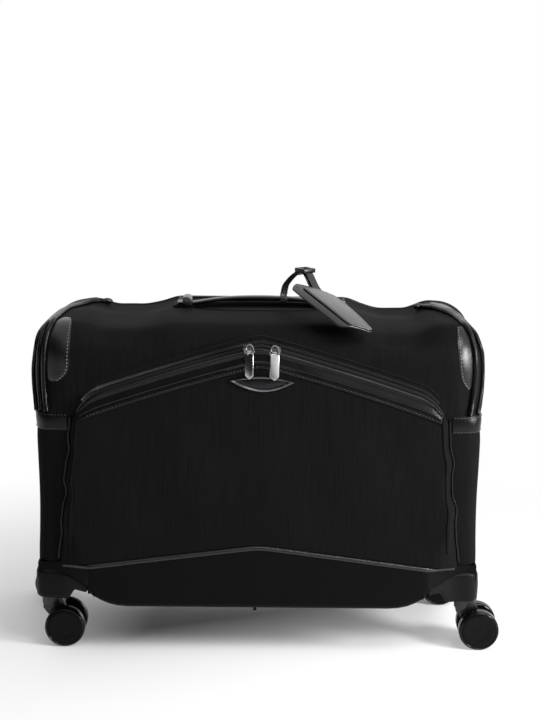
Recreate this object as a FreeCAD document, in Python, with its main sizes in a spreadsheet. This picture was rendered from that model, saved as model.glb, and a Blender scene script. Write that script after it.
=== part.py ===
import FreeCAD, Part
import os
import re
import Sketcher

# A soft-sided carry-on case on four swivel casters, in millimetres.
# X runs to the right, Y to the back, Z up; the floor is at zero height.

doc = FreeCAD.newDocument("carry_on_case")
sheet = doc.addObject("Spreadsheet::Sheet", "Sizes")

SIZES = {
    "body_width": 544,
    "overall_depth": 246,
    "body_top": 408,
    "pocket_bulge": 26,
    "shell_wall": 4,
    "back_thick": 4,
    "corner_round": 40,
    "front_round": 22,
    "base_low": 62,
    "base_raised": 82,
    "base_rim": 112,
    "base_rise": 32,
    "base_wall": 3,
    "base_flat_inset": 73,
    "base_step_inset": 56,
    "base_edge_round": 8,
    "bulge_chamfer": 40,
    "trim_height": 12,
    "trim_thick": 1.5,
    "lid_low_inset": 26,
    "lid_top_inset": 44,
    "lid_shoulder_inset": 62,
    "lid_corner": 302,
    "lid_shoulder": 326,
    "lid_peak": 390,
    "lid_wall": 3,
    "lid_gap": 0.6,
    "seat_gap": 0.4,
    "top_proud": 10,
    "belly_top": 175,
    "slope_top": 298,
    "lid_lap": 7,
    "tape_width": 8,
    "tape_thick": 1,
    "coil_width": 4,
    "coil_thick": 1.4,
    "band_width": 15,
    "band_thick": 2,
    "badge_length": 80,
    "badge_height": 19,
    "badge_drop": 46,
    "badge_rim_width": 3,
    "badge_thick": 2.4,
    "slider_left_at": 13,
    "slider_right_at": 17,
    "slider_length": 13,
    "slider_height": 8,
    "slider_thick": 5,
    "slide_gap": 0.35,
    "pull_pin_radius": 1.2,
    "pull_pin_gap": 0.08,
    "pull_thick": 2.4,
    "pull_width": 12,
    "pull_length": 36,
    "hood_inset": 15,
    "hood_top_inset": 60,
    "piping_radius": 3,
    "piping_low": 297,
    "piping_bend": 32,
    "pocket_piping_radius": 2.2,
    "side_band_low": 277,
    "side_band_height": 16,
    "side_band_thick": 2,
    "side_band_lap": 32,
    "side_band_reach": 160,
    "patch_thick": 1.2,
    "guard_wall": 3.5,
    "guard_depth": 57,
    "guard_high": 102,
    "guard_low": 66,
    "guard_reach": 62,
    "boss_radius": 17,
    "caster_inset": 14,
    "caster_end": 28,
    "caster_trail": 17,
    "pin_radius": 4,
    "pin_gap": 0.08,
    "pin_head_radius": 6.8,
    "fork_gap": 0.4,
    "fork_top_radius": 16,
    "fork_column_radius": 13,
    "fork_web_half": 8.4,
    "wheel_radius": 25,
    "wheel_width": 16,
    "wheel_gap": 0.4,
    "axle_radius": 3,
    "axle_gap": 0.08,
    "handle_inset": 70,
    "handle_half": 108,
    "handle_width": 22,
    "handle_rise": 14.5,
    "handle_bar": 7,
    "leg_thick": 10,
    "leg_gap": 0.5,
    "bracket_thick": 2.5,
    "handle_lift": 12,
    "foot_thick": 3,
    "well_half": 84,
    "well_width": 44,
    "well_depth": 16,
    "well_wall": 2,
    "tube_half": 80,
    "tube_inset": 20,
    "tube_wide": 22,
    "tube_deep": 14,
    "tube_wall": 1,
    "tube_gap": 0.4,
    "bezel_half": 106,
    "bezel_deep": 20,
    "bezel_cup": 18,
    "bezel_wall": 2,
    "grip_gap": 0.6,
    "grip_high": 14,
    "button_long": 40,
    "button_wide": 7,
    "button_high": 4,
    "button_stroke": 2,
    "channel_half": 114,
    "channel_wall": 2.5,
    "channel_inset": 35,
    "strap_wide": 9,
    "strap_thick": 2,
    "strap_spot": 32,
    "strap_reach": 82,
    "strap_rise": 38,
    "buckle_spot": 39,
    "buckle_ahead": 28,
    "buckle_long": 18,
    "buckle_thick": 3,
    "tag_spot_right": 38,
    "tag_spot_ahead": 83,
    "tag_spot_rise": 43.8,
    "tag_corner": 10,
    "tag_clearance": 7.2,
    "tag_wide": 60,
    "tag_long": 96,
    "tag_thick": 2.6,
    "tag_flap_thick": 1.4,
}
for row, (name, value) in enumerate(SIZES.items(), start=1):
    sheet.set("A%d" % row, name)
    sheet.set("B%d" % row, str(value))
    sheet.setAlias("B%d" % row, name)
doc.recompute()

SIDE = "body_width / 2"
NOSE = "(-overall_depth / 2)"
FACE = "(pocket_bulge - overall_depth / 2)"
BACK = "(overall_depth / 2)"
SHELL_END = "(overall_depth / 2 - back_thick)"
PROUD = "(pocket_bulge - overall_depth / 2 - top_proud)"
CASTER_MID = "(pocket_bulge / 2)"


# Places that follow from the sizes, so that a change of width or depth carries them along.
PLACES = {
    "base_flat": "(body_width - 2 * base_flat_inset)",
    "base_step": "(body_width - 2 * base_step_inset)",
    "lid_low_width": "(body_width - 2 * lid_low_inset)",
    "lid_top_width": "(body_width - 2 * lid_top_inset)",
    "lid_shoulder_width": "(body_width - 2 * lid_shoulder_inset)",
    "hood_front_half": "(body_width / 2 - hood_inset)",
    "hood_top_half": "(body_width / 2 - hood_top_inset)",
    "side_band_inner": "(body_width / 2 - side_band_lap)",
    "guard_inner": "(body_width / 2 - guard_reach)",
    "caster_half": "(body_width / 2 - caster_inset)",
    "caster_pitch": "(overall_depth - pocket_bulge - 2 * caster_end)",
    "handle_depth": "(overall_depth / 2 - handle_inset)",
    "tube_depth": "(overall_depth / 2 - tube_inset)",
    "channel_front": "(overall_depth / 2 - channel_inset)",
}
WORD = re.compile(r"\b[a-z]+(?:_[a-z]+)+\b")


def expand(text):
    return WORD.sub(lambda found: PLACES.get(found.group(0), found.group(0)), str(text))


def named(text):
    return WORD.sub(lambda found: "Sizes." + found.group(0), expand(text))


def num(text):
    return float(sheet.evalExpression(expand(text)))


def bind(item, field, text):
    item.setExpression(field, named(text))


def place(item, at):
    for axis, text in zip("xyz", at):
        bind(item, "Placement.Base." + axis, text)


def draw(body, plane, points):
    sketch = body.newObject("Sketcher::SketchObject", body.Name + "_outline")
    roles = {entry.Role: entry for entry in body.Origin.OriginFeatures}
    sketch.AttachmentSupport = [(roles[plane + "_Plane"], "")]
    sketch.MapMode = "FlatFace"
    spots = [FreeCAD.Vector(num(a), num(b), 0) for a, b in points]
    count = len(spots)
    for index in range(count):
        line = Part.LineSegment(spots[index], spots[(index + 1) % count])
        sketch.addGeometry(line, False)
    for index in range(count):
        follow = (index + 1) % count
        sketch.addConstraint(Sketcher.Constraint("Coincident", index, 2, follow, 1))
    for index, (across, along) in enumerate(points):
        for kind, text in (("DistanceX", across), ("DistanceY", along)):
            rule = Sketcher.Constraint(kind, -1, 1, index, 1, num(text))
            order = sketch.addConstraint(rule)
            bind(sketch, "Constraints[%d]" % order, text)
    return sketch


def prism(label, plane, points, length, at=("0", "0", "0")):
    # A sketch on XZ is padded towards the front, one on XY upwards, one on YZ to the right.
    body = doc.addObject("PartDesign::Body", label)
    sketch = draw(body, plane, points)
    pad = body.newObject("PartDesign::Pad", label + "_pad")
    pad.Profile = sketch
    bind(pad, "Length", length)
    place(body, at)
    doc.recompute()
    return body


def soften(body, radius, test):
    base = body.Tip
    names = []
    for order, edge in enumerate(base.Shape.Edges, start=1):
        if test([vertex.Point for vertex in edge.Vertexes]):
            names.append("Edge%d" % order)
    fillet = body.newObject("PartDesign::Fillet", body.Name + "_round")
    fillet.Base = (base, names)
    bind(fillet, "Radius", radius)
    doc.recompute()


def near(first, second):
    return abs(first - second) < 0.001


def block(label, size, at):
    item = doc.addObject("Part::Box", label)
    for field, text in zip(("Length", "Width", "Height"), size):
        bind(item, field, text)
    place(item, at)
    return item


TURNS = {
    "z": FreeCAD.Rotation(),
    "y": FreeCAD.Rotation(FreeCAD.Vector(1, 0, 0), -90),
    "x": FreeCAD.Rotation(FreeCAD.Vector(0, 1, 0), 90),
}


def rod(label, radius, length, at, axis="z"):
    item = doc.addObject("Part::Cylinder", label)
    bind(item, "Radius", radius)
    bind(item, "Height", length)
    item.Placement = FreeCAD.Placement(FreeCAD.Vector(), TURNS[axis])
    place(item, at)
    return item


def join(label, items):
    item = doc.addObject("Part::MultiFuse", label)
    item.Shapes = items
    return item


def group(label, items):
    item = doc.addObject("Part::Compound", label)
    item.Links = items
    return item


def share(label, items):
    item = doc.addObject("Part::MultiCommon", label)
    item.Shapes = items
    return item


def cut(label, base, tools):
    tool = tools[0] if len(tools) == 1 else join(label + "_tools", tools)
    item = doc.addObject("Part::Cut", label)
    item.Base = base
    item.Tool = tool
    return item


def mirror(sign, text):
    return "%d * (%s)" % (sign, text)


def flip(points):
    return [("-1 * (%s)" % a, b) for a, b in reversed(points)]


def symmetric(points):
    # The right half, listed from its lowest point up, and its mirror image.
    return points + flip(points)


NODES = []


def keep(*items):
    NODES.extend(items)


# Side piping: a straight run beside the pocket and a bend into the upper corner.
piping = {}
for tag, sign in (("left", -1), ("right", 1)):
    run_up = "body_top - corner_round - piping_low"
    straight = rod(
        "piping_run_" + tag, "piping_radius", run_up,
        (mirror(sign, "hood_front_half"), FACE, "piping_low"),
    )
    bend = doc.addObject("Part::Torus", "piping_bend_" + tag)
    bind(bend, "Radius1", "piping_bend")
    bind(bend, "Radius2", "piping_radius")
    bend.Angle3 = 64
    turn = FreeCAD.Rotation(FreeCAD.Vector(1, 0, 0), 90)
    if sign < 0:
        turn = FreeCAD.Rotation(FreeCAD.Vector(0, 0, 1), 180).multiply(turn)
    bend.Placement = FreeCAD.Placement(FreeCAD.Vector(), turn)
    centre = (mirror(sign, "hood_front_half - piping_bend"), FACE, "body_top - corner_round")
    place(bend, centre)
    piping[tag] = join("front_piping_" + tag, [straight, bend])
    keep(piping[tag])


# Body shell: a rounded arch, hollow, open below, behind and over the front panel.
def arch(label, inset, low, end, start, length):
    half = SIDE + " - " + inset
    high = "body_top - " + inset
    points = [("-(%s)" % half, low), (half, low), (half, high), ("-(%s)" % half, high)]
    body = prism(label, "XZ", points, length, ("0", end, "0"))
    top = num(high)
    soften(body, "corner_round - " + inset, lambda spots: (
        len(spots) == 2 and near(spots[0].z, top) and near(spots[1].z, top)
        and near(spots[0].x, spots[1].x)
    ))
    if start is not None:
        front = -num(length)
        floor = num(low)
        soften(body, start, lambda spots: (
            all(near(spot.y, front) for spot in spots)
            and not all(near(spot.z, floor) for spot in spots)
        ))
    return body


shell_length = SHELL_END + " - " + FACE
outer = arch("shell_outer", "0", "base_rim", SHELL_END, "front_round", shell_length)
inner_length = shell_length + " - shell_wall + 1"
inner = arch(
    "shell_inner", "shell_wall", "base_rim - 1", SHELL_END + " + 1",
    "front_round - shell_wall", inner_length,
)

# Openings in the shell: the front panel, the handle well and legs, the trolley bezel.
mouth_side = [
    ("lid_low_width / 2 - lid_lap", "base_rim - 2"),
    ("lid_top_width / 2 - lid_lap", "lid_corner"),
    ("lid_shoulder_width / 2 - lid_lap", "lid_shoulder - lid_lap"),
]
mouth_top = [("0", "lid_peak - lid_lap")]
mouth = prism(
    "mouth", "XZ", mouth_side + mouth_top + flip(mouth_side),
    "shell_wall + front_round + 10", ("0", FACE + " + shell_wall + front_round", "0"),
)
well_hole = block(
    "well_hole", ("2 * well_half", "well_width", "shell_wall + 4"),
    ("-well_half", "handle_depth - well_width / 2", "body_top - shell_wall - 2"),
)
LEG_HOLE = ("leg_thick + 2 * leg_gap", "handle_width + 2 * leg_gap")


def leg_hole(label, sign, low, high):
    middle = mirror(sign, "handle_half - leg_thick / 2")
    return block(
        label, LEG_HOLE + (high,),
        (middle + " - leg_thick / 2 - leg_gap", "handle_depth - handle_width / 2 - leg_gap", low),
    )


leg_holes = [
    leg_hole("leg_hole_" + tag, sign, "body_top - shell_wall - 2", "shell_wall + 4")
    for tag, sign in (("left", -1), ("right", 1))
]
bezel_hole = block(
    "bezel_hole", ("2 * bezel_half", "bezel_deep", "shell_wall + 4"),
    ("-bezel_half", "tube_depth - bezel_deep / 2", "body_top - shell_wall - 2"),
)
shell_tools = [inner, mouth, well_hole, bezel_hole] + leg_holes + list(piping.values())
shell = cut("shell", outer, shell_tools)

# Hood and end gussets: the shell is sewn from a wrap over the top and two ends.
wrap_side = [
    ("hood_front_half", "base_rim - 10"),
    ("hood_front_half", "body_top - corner_round"),
    ("hood_front_half - 10", "body_top - corner_round + 25"),
    ("hood_top_half", "body_top + 10"),
]
wrap = prism(
    "wrap", "XZ", symmetric(wrap_side), "overall_depth + 40", ("0", BACK + " + 20", "0"),
)
keep(share("hood_wrap", [shell, wrap]))
for tag, sign in (("left", -1), ("right", 1)):
    corner = "0" if sign > 0 else "-body_width"
    half_space = block(
        "half_" + tag, ("body_width", "overall_depth + 40", "body_top + 100"),
        (corner, NOSE + " - 20", "0"),
    )
    half_shell = share("half_shell_" + tag, [shell, half_space])
    keep(cut("end_gusset_" + tag, half_shell, [wrap]))
keep(arch("back_panel", "0", "base_rim", BACK, None, "back_thick"))


# Base pan: a moulded tray, raised over the casters, with a peaked front wall.
def floor_line(inset, low_inset):
    return [
        ("base_flat / 2 - %s / 2" % inset, "base_low + " + low_inset),
        ("base_step / 2 - %s / 2" % inset, "base_raised + " + low_inset),
    ]


def pan_section(half, inset, top, peak):
    points = floor_line(inset, inset)
    points = points + [
        (half + " - " + inset, "base_raised + " + inset), (half + " - " + inset, top)
    ]
    return flip(points) + points if peak is None else points + [("0", peak)] + flip(points)


def plan(inset, end):
    half = "lid_low_width / 2 - " + inset
    return [
        ("-(%s)" % half, end), ("-(%s)" % half, FACE),
        ("-(%s) + bulge_chamfer" % half, NOSE + " + " + inset),
        ("%s - bulge_chamfer" % half, NOSE + " + " + inset),
        (half, FACE), (half, end),
    ]


pan_main = prism(
    "pan_main", "XZ", pan_section(SIDE, "0", "base_rim", None),
    BACK + " - " + FACE, ("0", BACK, "0"),
)
nose_front = prism(
    "nose_front", "XZ",
    pan_section("lid_low_width / 2", "0", "base_rim", "base_rim + base_rise"),
    "pocket_bulge", ("0", FACE, "0"),
)
nose_floor = num("base_low")
nose_start = -num("pocket_bulge")
soften(nose_front, "base_edge_round", lambda spots: all(
    near(spot.y, nose_start) and near(spot.z, nose_floor) for spot in spots
))
nose_plan = prism("nose_plan", "XY", plan("0", FACE + " + 1"), "base_rim + base_rise")
nose = share("nose", [nose_front, nose_plan])
pan_outer = join("pan_outer", [pan_main, nose])
pan_inner = prism(
    "pan_inner", "XZ", pan_section(SIDE, "base_wall", "base_rim + 1", None),
    BACK + " - " + FACE + " - 2 * base_wall", ("0", BACK + " - base_wall", "0"),
)
nose_hollow_front = prism(
    "nose_hollow_front", "XZ",
    pan_section("lid_low_width / 2", "base_wall", "base_rim + base_rise + 9", None),
    "pocket_bulge + 1", ("0", FACE + " + base_wall + 1", "0"),
)
nose_hollow_plan = prism(
    "nose_hollow_plan", "XY", plan("base_wall", FACE + " + base_wall + 1"),
    "base_rim + base_rise + 20",
)
nose_hollow = share("nose_hollow", [nose_hollow_front, nose_hollow_plan])
keep(cut("base_pan", pan_outer, [pan_inner, nose_hollow]))


# Base trim: a bound edge under the peak of the front wall.
def peaked_strip(half, peak, fall, start, height):
    # A strip that falls from the peak at the centre to both ends.
    return [
        ("0", "%s - (%s)" % (peak, start)),
        ("-(%s)" % half, "%s - %s - (%s)" % (peak, fall, start)),
        ("-(%s)" % half, "%s - %s - (%s) - (%s)" % (peak, fall, start, height)),
        ("0", "%s - (%s) - (%s)" % (peak, start, height)),
        (half, "%s - %s - (%s) - (%s)" % (peak, fall, start, height)),
        (half, "%s - %s - (%s)" % (peak, fall, start)),
    ]


flat_half = "lid_low_width / 2 - bulge_chamfer"
base_fall = "base_rise * (%s) / (lid_low_width / 2)" % flat_half
keep(prism(
    "base_trim", "XZ",
    peaked_strip(flat_half, "(base_rim + base_rise)", base_fall, "0", "trim_height"),
    "trim_thick", ("0", NOSE, "0"),
))


# Front panel: a shallow dish that stands proud of the face and bulges low down.
def dish(tag, inset, low, end):
    half_low = "lid_low_width / 2 - " + inset
    side = [
        (half_low, low),
        ("lid_top_width / 2 - " + inset, "lid_corner"),
        ("lid_shoulder_width / 2 - " + inset, "lid_shoulder - " + inset),
    ]
    top = [("0", "lid_peak - " + inset)]
    bottom = [("0", low + " + base_rise")]
    front = prism(
        "dish_front_" + tag, "XZ", side + top + flip(side) + bottom,
        "pocket_bulge + 20", ("0", end, "0"),
    )
    section = [
        (NOSE + " + " + inset, "base_low"),
        (NOSE + " + " + inset, "belly_top"),
        (PROUD + " + " + inset, "slope_top"),
        (PROUD + " + " + inset, "lid_peak + 20"),
        (end, "lid_peak + 20"),
        (end, "base_low"),
    ]
    profile = prism(
        "dish_profile_" + tag, "YZ", section, "body_width", ("-body_width / 2", "0", "0"),
    )
    level = prism("dish_plan_" + tag, "XY", plan(inset, end + " + 1"), "body_top")
    return share("dish_" + tag, [front, profile, level])


dish_end = FACE + " - seat_gap"
dish_outer = dish("outer", "0", "(base_rim + lid_gap)", dish_end)
dish_inner = dish("inner", "lid_wall", "(base_rim - 8)", dish_end + " + 1")
keep(cut("front_pocket", dish_outer, [dish_inner]))

# Zip and leather band along the peaked top edge of the front panel.
CHEVRON_HALF = "lid_shoulder_width / 2"
CHEVRON_FALL = "(lid_peak - lid_shoulder)"


def chevron(label, start, height, thick, end):
    points = peaked_strip(CHEVRON_HALF, "lid_peak", CHEVRON_FALL, start, height)
    return prism(label, "XZ", points, thick, ("0", end, "0"))


keep(
    chevron("pocket_zip_tape", "0.2", "tape_width", "tape_thick", PROUD),
    chevron(
        "pocket_zip_coil", "0.2 + tape_width / 2 - coil_width / 2", "coil_width",
        "coil_thick", PROUD + " - tape_thick",
    ),
    chevron("pocket_band", "tape_width + 0.5", "band_width", "band_thick", PROUD),
    chevron("hood_zip_tape", "-lid_gap - tape_width", "tape_width", "tape_thick", FACE),
)

# Badge below the peak: a pointed rim around a bare plate.
badge_mid = "lid_peak - badge_drop"


def leaf(shrink):
    return [
        ("badge_length / 2 - 3 * (%s)" % shrink, badge_mid),
        ("0", badge_mid + " + badge_height / 2 - " + shrink),
        ("-badge_length / 2 + 3 * (%s)" % shrink, badge_mid),
        ("0", badge_mid + " - badge_height / 2 + " + shrink),
    ]


badge_disc = prism("badge_disc", "XZ", leaf("0"), "badge_thick", ("0", PROUD, "0"))
badge_hole = prism(
    "badge_hole", "XZ", leaf("badge_rim_width"), "badge_thick + 2", ("0", PROUD + " + 1", "0"),
)
keep(
    cut("badge_rim", badge_disc, [badge_hole]),
    prism(
        "badge_plate", "XZ", leaf("badge_rim_width"), "badge_thick / 2", ("0", PROUD, "0"),
    ),
)

# Piping along both sides of the front panel, just clear of the face.
side_lean = "(lid_low_width - lid_top_width) / 2"
pipe_low = "(base_rim + 10)"
pipe_rise = "(lid_corner - 4 - base_rim - 10)"
pipe_shift = "(%s * %s / (lid_corner - base_rim))" % (side_lean, pipe_rise)
for tag, sign in (("left", -1), ("right", 1)):
    start = "lid_low_width / 2 - 10 * %s / (lid_corner - base_rim) + 1.01 * pocket_piping_radius"
    start = start % side_lean
    spine = doc.addObject("Part::Line", "pocket_piping_spine_" + tag)
    depth = FACE + " - seat_gap - pocket_piping_radius - 0.2"
    for field, text in (
        ("X1", mirror(sign, start)), ("Y1", depth), ("Z1", pipe_low),
        ("X2", mirror(sign, start + " - " + pipe_shift)), ("Y2", depth),
        ("Z2", pipe_low + " + " + pipe_rise),
    ):
        bind(spine, field, text)
    ring = doc.addObject("Part::Circle", "pocket_piping_ring_" + tag)
    bind(ring, "Radius", "pocket_piping_radius")
    place(ring, (mirror(sign, start), depth, pipe_low))
    pipe = doc.addObject("Part::Sweep", "pocket_piping_" + tag)
    pipe.Sections = [ring]
    pipe.Spine = (spine, ["Edge1"])
    pipe.Solid = True
    keep(pipe)

# Zip sliders that ride over the coil, each with a hinged pull.
slope = "(%s / (%s))" % (CHEVRON_FALL, CHEVRON_HALF)
coil_mid = "lid_peak - 0.2 - tape_width / 2"
tape_front = PROUD + " - tape_thick"
for tag, sign in (("left", -1), ("right", 1)):
    spot = "slider_%s_at" % tag
    across = mirror(sign, spot)
    level = "%s - %s * %s" % (coil_mid, slope, spot)
    angle = "%d * atan(%s)" % (sign, slope)
    shoe = block(
        "slider_shoe_" + tag, ("slider_length", "slider_thick", "slider_height"), ("0", "0", "0"),
    )
    shoe.Placement.Base = FreeCAD.Vector(0, 0, 0)
    place(shoe, (
        "-slider_length / 2", tape_front + " - slide_gap - slider_thick", "-slider_height / 2",
    ))
    groove = block(
        "slider_groove_" + tag,
        ("slider_length + 2", "coil_thick + 1", "coil_width + 2 * slide_gap"),
        (
            "-slider_length / 2 - 1", tape_front + " - slide_gap - coil_thick",
            "-coil_width / 2 - slide_gap",
        ),
    )
    flat_shoe = cut("slider_flat_" + tag, shoe, [groove])
    turned = group("slider_turned_" + tag, [flat_shoe])
    turned.Placement = FreeCAD.Placement(
        FreeCAD.Vector(), FreeCAD.Rotation(FreeCAD.Vector(0, 1, 0), 1)
    )
    bind(turned, "Placement.Rotation.Angle", angle)
    place(turned, (across, "0", level))
    shoe_front = tape_front + " - slide_gap - slider_thick"
    ears = []
    for name, offset in (("outer", "2.9"), ("inner", "-4.3")):
        ears.append(block(
            "slider_ear_%s_%s" % (name, tag), ("1.4", "5.2", "5"),
            (across + " + " + offset, shoe_front + " - 4.8", level + " - 2.5"),
        ))
    pin = rod(
        "slider_pin_" + tag, "pull_pin_radius", "8",
        (across + " - 4", shoe_front + " - 2.8", level), "x",
    )
    keep(join("zip_slider_" + tag, [turned] + ears + [pin]))
    half = "pull_width / 2"
    tip = level + " - pull_length"
    shape = [
        ("2.6", "2.2"), ("-2.6", "2.2"), ("-2.6", "-6"), ("-(%s)" % half, "-10"),
        ("-(%s)" % half, "5 - pull_length"), ("0", "-pull_length"),
        (half, "5 - pull_length"), (half, "-10"), ("2.6", "-6"),
    ]
    blade = prism(
        "pull_blade_" + tag, "XZ", shape, "pull_thick",
        (across, shoe_front + " - 2.8 + pull_thick / 2", level),
    )
    eye = rod(
        "pull_eye_" + tag, "pull_pin_radius + pull_pin_gap", "20",
        (across + " - 10", shoe_front + " - 2.8", level), "x",
    )
    rounder = rod(
        "pull_round_" + tag, "pull_thick / 2 + 1.2", "5.2",
        (across + " - 2.6", shoe_front + " - 2.8", level), "x",
    )
    keep(cut("zip_pull_" + tag, join("pull_solid_" + tag, [blade, rounder]), [eye]))


# Side bands of leather that wrap round the front edges.
def wrap_block(label, grow, sign, low, height, reach):
    edge = "(%s + %s)" % (SIDE, grow)
    start = "(%s - (%s))" % (FACE, grow)
    points = [
        (mirror(sign, "side_band_inner"), start), (mirror(sign, edge), start),
        (mirror(sign, edge), "%s + %s" % (FACE, reach)),
        (mirror(sign, "side_band_inner"), "%s + %s" % (FACE, reach)),
    ]
    body = prism(label, "XY", points, height, ("0", "0", low))
    spot = (num(mirror(sign, edge)), num(start))
    soften(body, "front_round + " + grow, lambda ends: all(
        near(end.x, spot[0]) and near(end.y, spot[1]) for end in ends
    ))
    return body


for tag, sign in (("left", -1), ("right", 1)):
    band = wrap_block(
        "band_outer_" + tag, "side_band_thick", sign, "side_band_low", "side_band_height",
        "side_band_reach",
    )
    core = wrap_block(
        "band_core_" + tag, "0", sign, "side_band_low - 1", "side_band_height + 2",
        "side_band_reach + 1",
    )
    keep(cut("side_band_" + tag, band, [core]))
    patch = [
        (mirror(sign, "hood_front_half - 25"), "body_top - 56"),
        (mirror(sign, "hood_front_half - 18"), "body_top - 65"),
        (mirror(sign, "hood_front_half - 4"), "body_top - 65"),
        (mirror(sign, "hood_front_half - 4"), "body_top - 40"),
        (mirror(sign, "hood_front_half - 9"), "body_top - front_round - 2"),
        (mirror(sign, "hood_front_half - 29"), "body_top - front_round - 2"),
    ]
    keep(prism("corner_patch_" + tag, "XZ", patch, "patch_thick", ("0", FACE, "0")))


# Corner guards under the body, with a boss for each caster pin.
def guard(tag, sign, front):
    edge = "(%s + guard_wall)" % SIDE
    if front:
        bend = "(lid_low_width / 2)"
        run = "(%s - guard_inner)" % bend
        lean = "(pocket_bulge / bulge_chamfer)"
        level = [
            (SIDE, FACE + " + guard_depth"), (edge, FACE + " + guard_depth"),
            (edge, FACE + " - guard_wall"), (bend + " + 1.5", FACE + " - guard_wall"),
            ("guard_inner + 1.5", "%s - %s * %s - guard_wall" % (FACE, run, lean)),
            ("guard_inner", "%s - %s * %s" % (FACE, run, lean)),
            (bend, FACE), (SIDE, FACE),
        ]
        y_start = FACE
    else:
        level = [
            (SIDE, BACK + " - guard_depth"), (edge, BACK + " - guard_depth"),
            (edge, BACK), (SIDE, BACK),
        ]
        y_start = BACK + " - guard_depth"
    level = [(mirror(sign, a), b) for a, b in level]
    wall = prism("guard_level_" + tag, "XY", level, "guard_high", ("0", "0", "0"))
    fin = [
        ("guard_inner - 2", "base_low + 8"), ("caster_half - 21", "base_raised - 3"),
        ("caster_half - 16", "guard_low"), (edge + " + 1", "guard_low"),
        (edge + " + 1", "guard_high"), ("caster_half + 3", "guard_high - 2"),
        ("guard_inner + 16", "guard_high - 14"), ("guard_inner - 2", "guard_high - 20"),
    ]
    fin = [(mirror(sign, a), b) for a, b in fin]
    front_view = prism(
        "guard_fin_" + tag, "XZ", fin, "overall_depth + 40", ("0", BACK + " + 20", "0"),
    )
    skin = share("guard_skin_" + tag, [wall, front_view])
    start = "base_step / 2" if sign > 0 else "-(%s)" % SIDE
    plate = block(
        "guard_plate_" + tag,
        (SIDE + " - base_step / 2", "guard_depth", "3"), (start, y_start, "base_raised - 3"),
    )
    row = "%s %s caster_pitch / 2" % (CASTER_MID, "-" if front else "+")
    axis = (mirror(sign, "caster_half"), row)
    boss = rod(
        "guard_boss_" + tag, "boss_radius", "base_raised - guard_low", axis + ("guard_low",),
    )
    bore = rod(
        "guard_bore_" + tag, "pin_radius", "base_raised - guard_low - 1",
        axis + ("guard_low",),
    )
    solid = join("guard_solid_" + tag, [skin, plate, boss])
    return cut("corner_guard_" + tag, solid, [bore])


# Casters: a pin in the guard, a fork that swivels on it, an axle and twin wheels.
def caster(tag, sign, front):
    trail = 1 if front else -1
    middle = mirror(sign, "caster_half")
    row = "(%s %s caster_pitch / 2)" % (CASTER_MID, "-" if front else "+")
    ride = "%s + %d * caster_trail" % (middle, trail)
    top = "(guard_low - fork_gap)"
    shaft = rod(
        "pin_shaft_" + tag, "pin_radius", "base_raised - guard_low - 1 + 9 + fork_gap",
        (middle, row, top + " - 9"),
    )
    head = rod("pin_head_" + tag, "pin_head_radius", "3.5", (middle, row, top + " - 12.5"))
    pin = join("pin_" + tag, [shaft, head])
    disc = rod("fork_disc_" + tag, "fork_top_radius", "5", (middle, row, top + " - 5"))
    column = rod("fork_column_" + tag, "fork_column_radius", "11", (middle, row, top + " - 15"))
    web_points = [
        ("-11", top + " - 6"), ("11", top + " - 6"), ("caster_trail + 10", "wheel_radius + 4"),
        ("caster_trail + 9", "wheel_radius - 6"), ("caster_trail", "wheel_radius - 11"),
        ("caster_trail - 9", "wheel_radius - 5"), ("-11", top + " - 20"),
    ]
    web_points = [("%d * (%s)" % (trail, a), b) for a, b in web_points]
    web = prism(
        "fork_web_" + tag, "XZ", web_points, "2 * fork_web_half",
        (middle, row + " + fork_web_half", "0"),
    )
    fork_solid = join("fork_solid_" + tag, [disc, column, web])
    bore = rod("fork_bore_" + tag, "pin_radius + pin_gap", "40", (middle, row, top + " - 30"))
    pocket = rod(
        "fork_pocket_" + tag, "pin_head_radius + fork_gap", "40",
        (middle, row, top + " - 9 + fork_gap - 40"),
    )
    seat = rod(
        "fork_seat_" + tag, "axle_radius", "2 * fork_web_half + 2",
        (ride, row + " - fork_web_half - 1", "wheel_radius"), "y",
    )
    fork = cut("caster_fork_" + tag, fork_solid, [bore, pocket, seat])
    reach = "(fork_web_half + wheel_gap + wheel_width)"
    axle = rod(
        "caster_axle_" + tag, "axle_radius", "2 * %s - 4" % reach,
        (ride, row + " - %s + 2" % reach, "wheel_radius"), "y",
    )
    discs = []
    for name, start, face in (
        ("near", "-" + reach, "-" + reach + " - 1"),
        ("far", reach + " - wheel_width", reach + " - 1.5"),
    ):
        tread = rod(
            "tread_%s_%s" % (name, tag), "wheel_radius", "wheel_width",
            (ride, row + " + " + start, "wheel_radius"), "y",
        )
        hole = rod(
            "wheel_bore_%s_%s" % (name, tag), "axle_radius + axle_gap", "wheel_width + 2",
            (ride, row + " + " + start + " - 1", "wheel_radius"), "y",
        )
        dent = rod(
            "wheel_dent_%s_%s" % (name, tag), "wheel_radius * 0.62", "2.5",
            (ride, row + " + " + face, "wheel_radius"), "y",
        )
        discs.append(cut("wheel_disc_%s_%s" % (name, tag), tread, [hole, dent]))
    return pin, fork, axle, group("caster_wheels_" + tag, discs)


pins = []
for tag, sign, front in (
    ("front_left", -1, True), ("front_right", 1, True),
    ("rear_left", -1, False), ("rear_right", 1, False),
):
    keep(guard(tag, sign, front))
    pin, fork, axle, wheels = caster(tag, sign, front)
    pins.append(pin)
    keep(fork, axle, wheels)
keep(group("caster_pins", pins))

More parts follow.
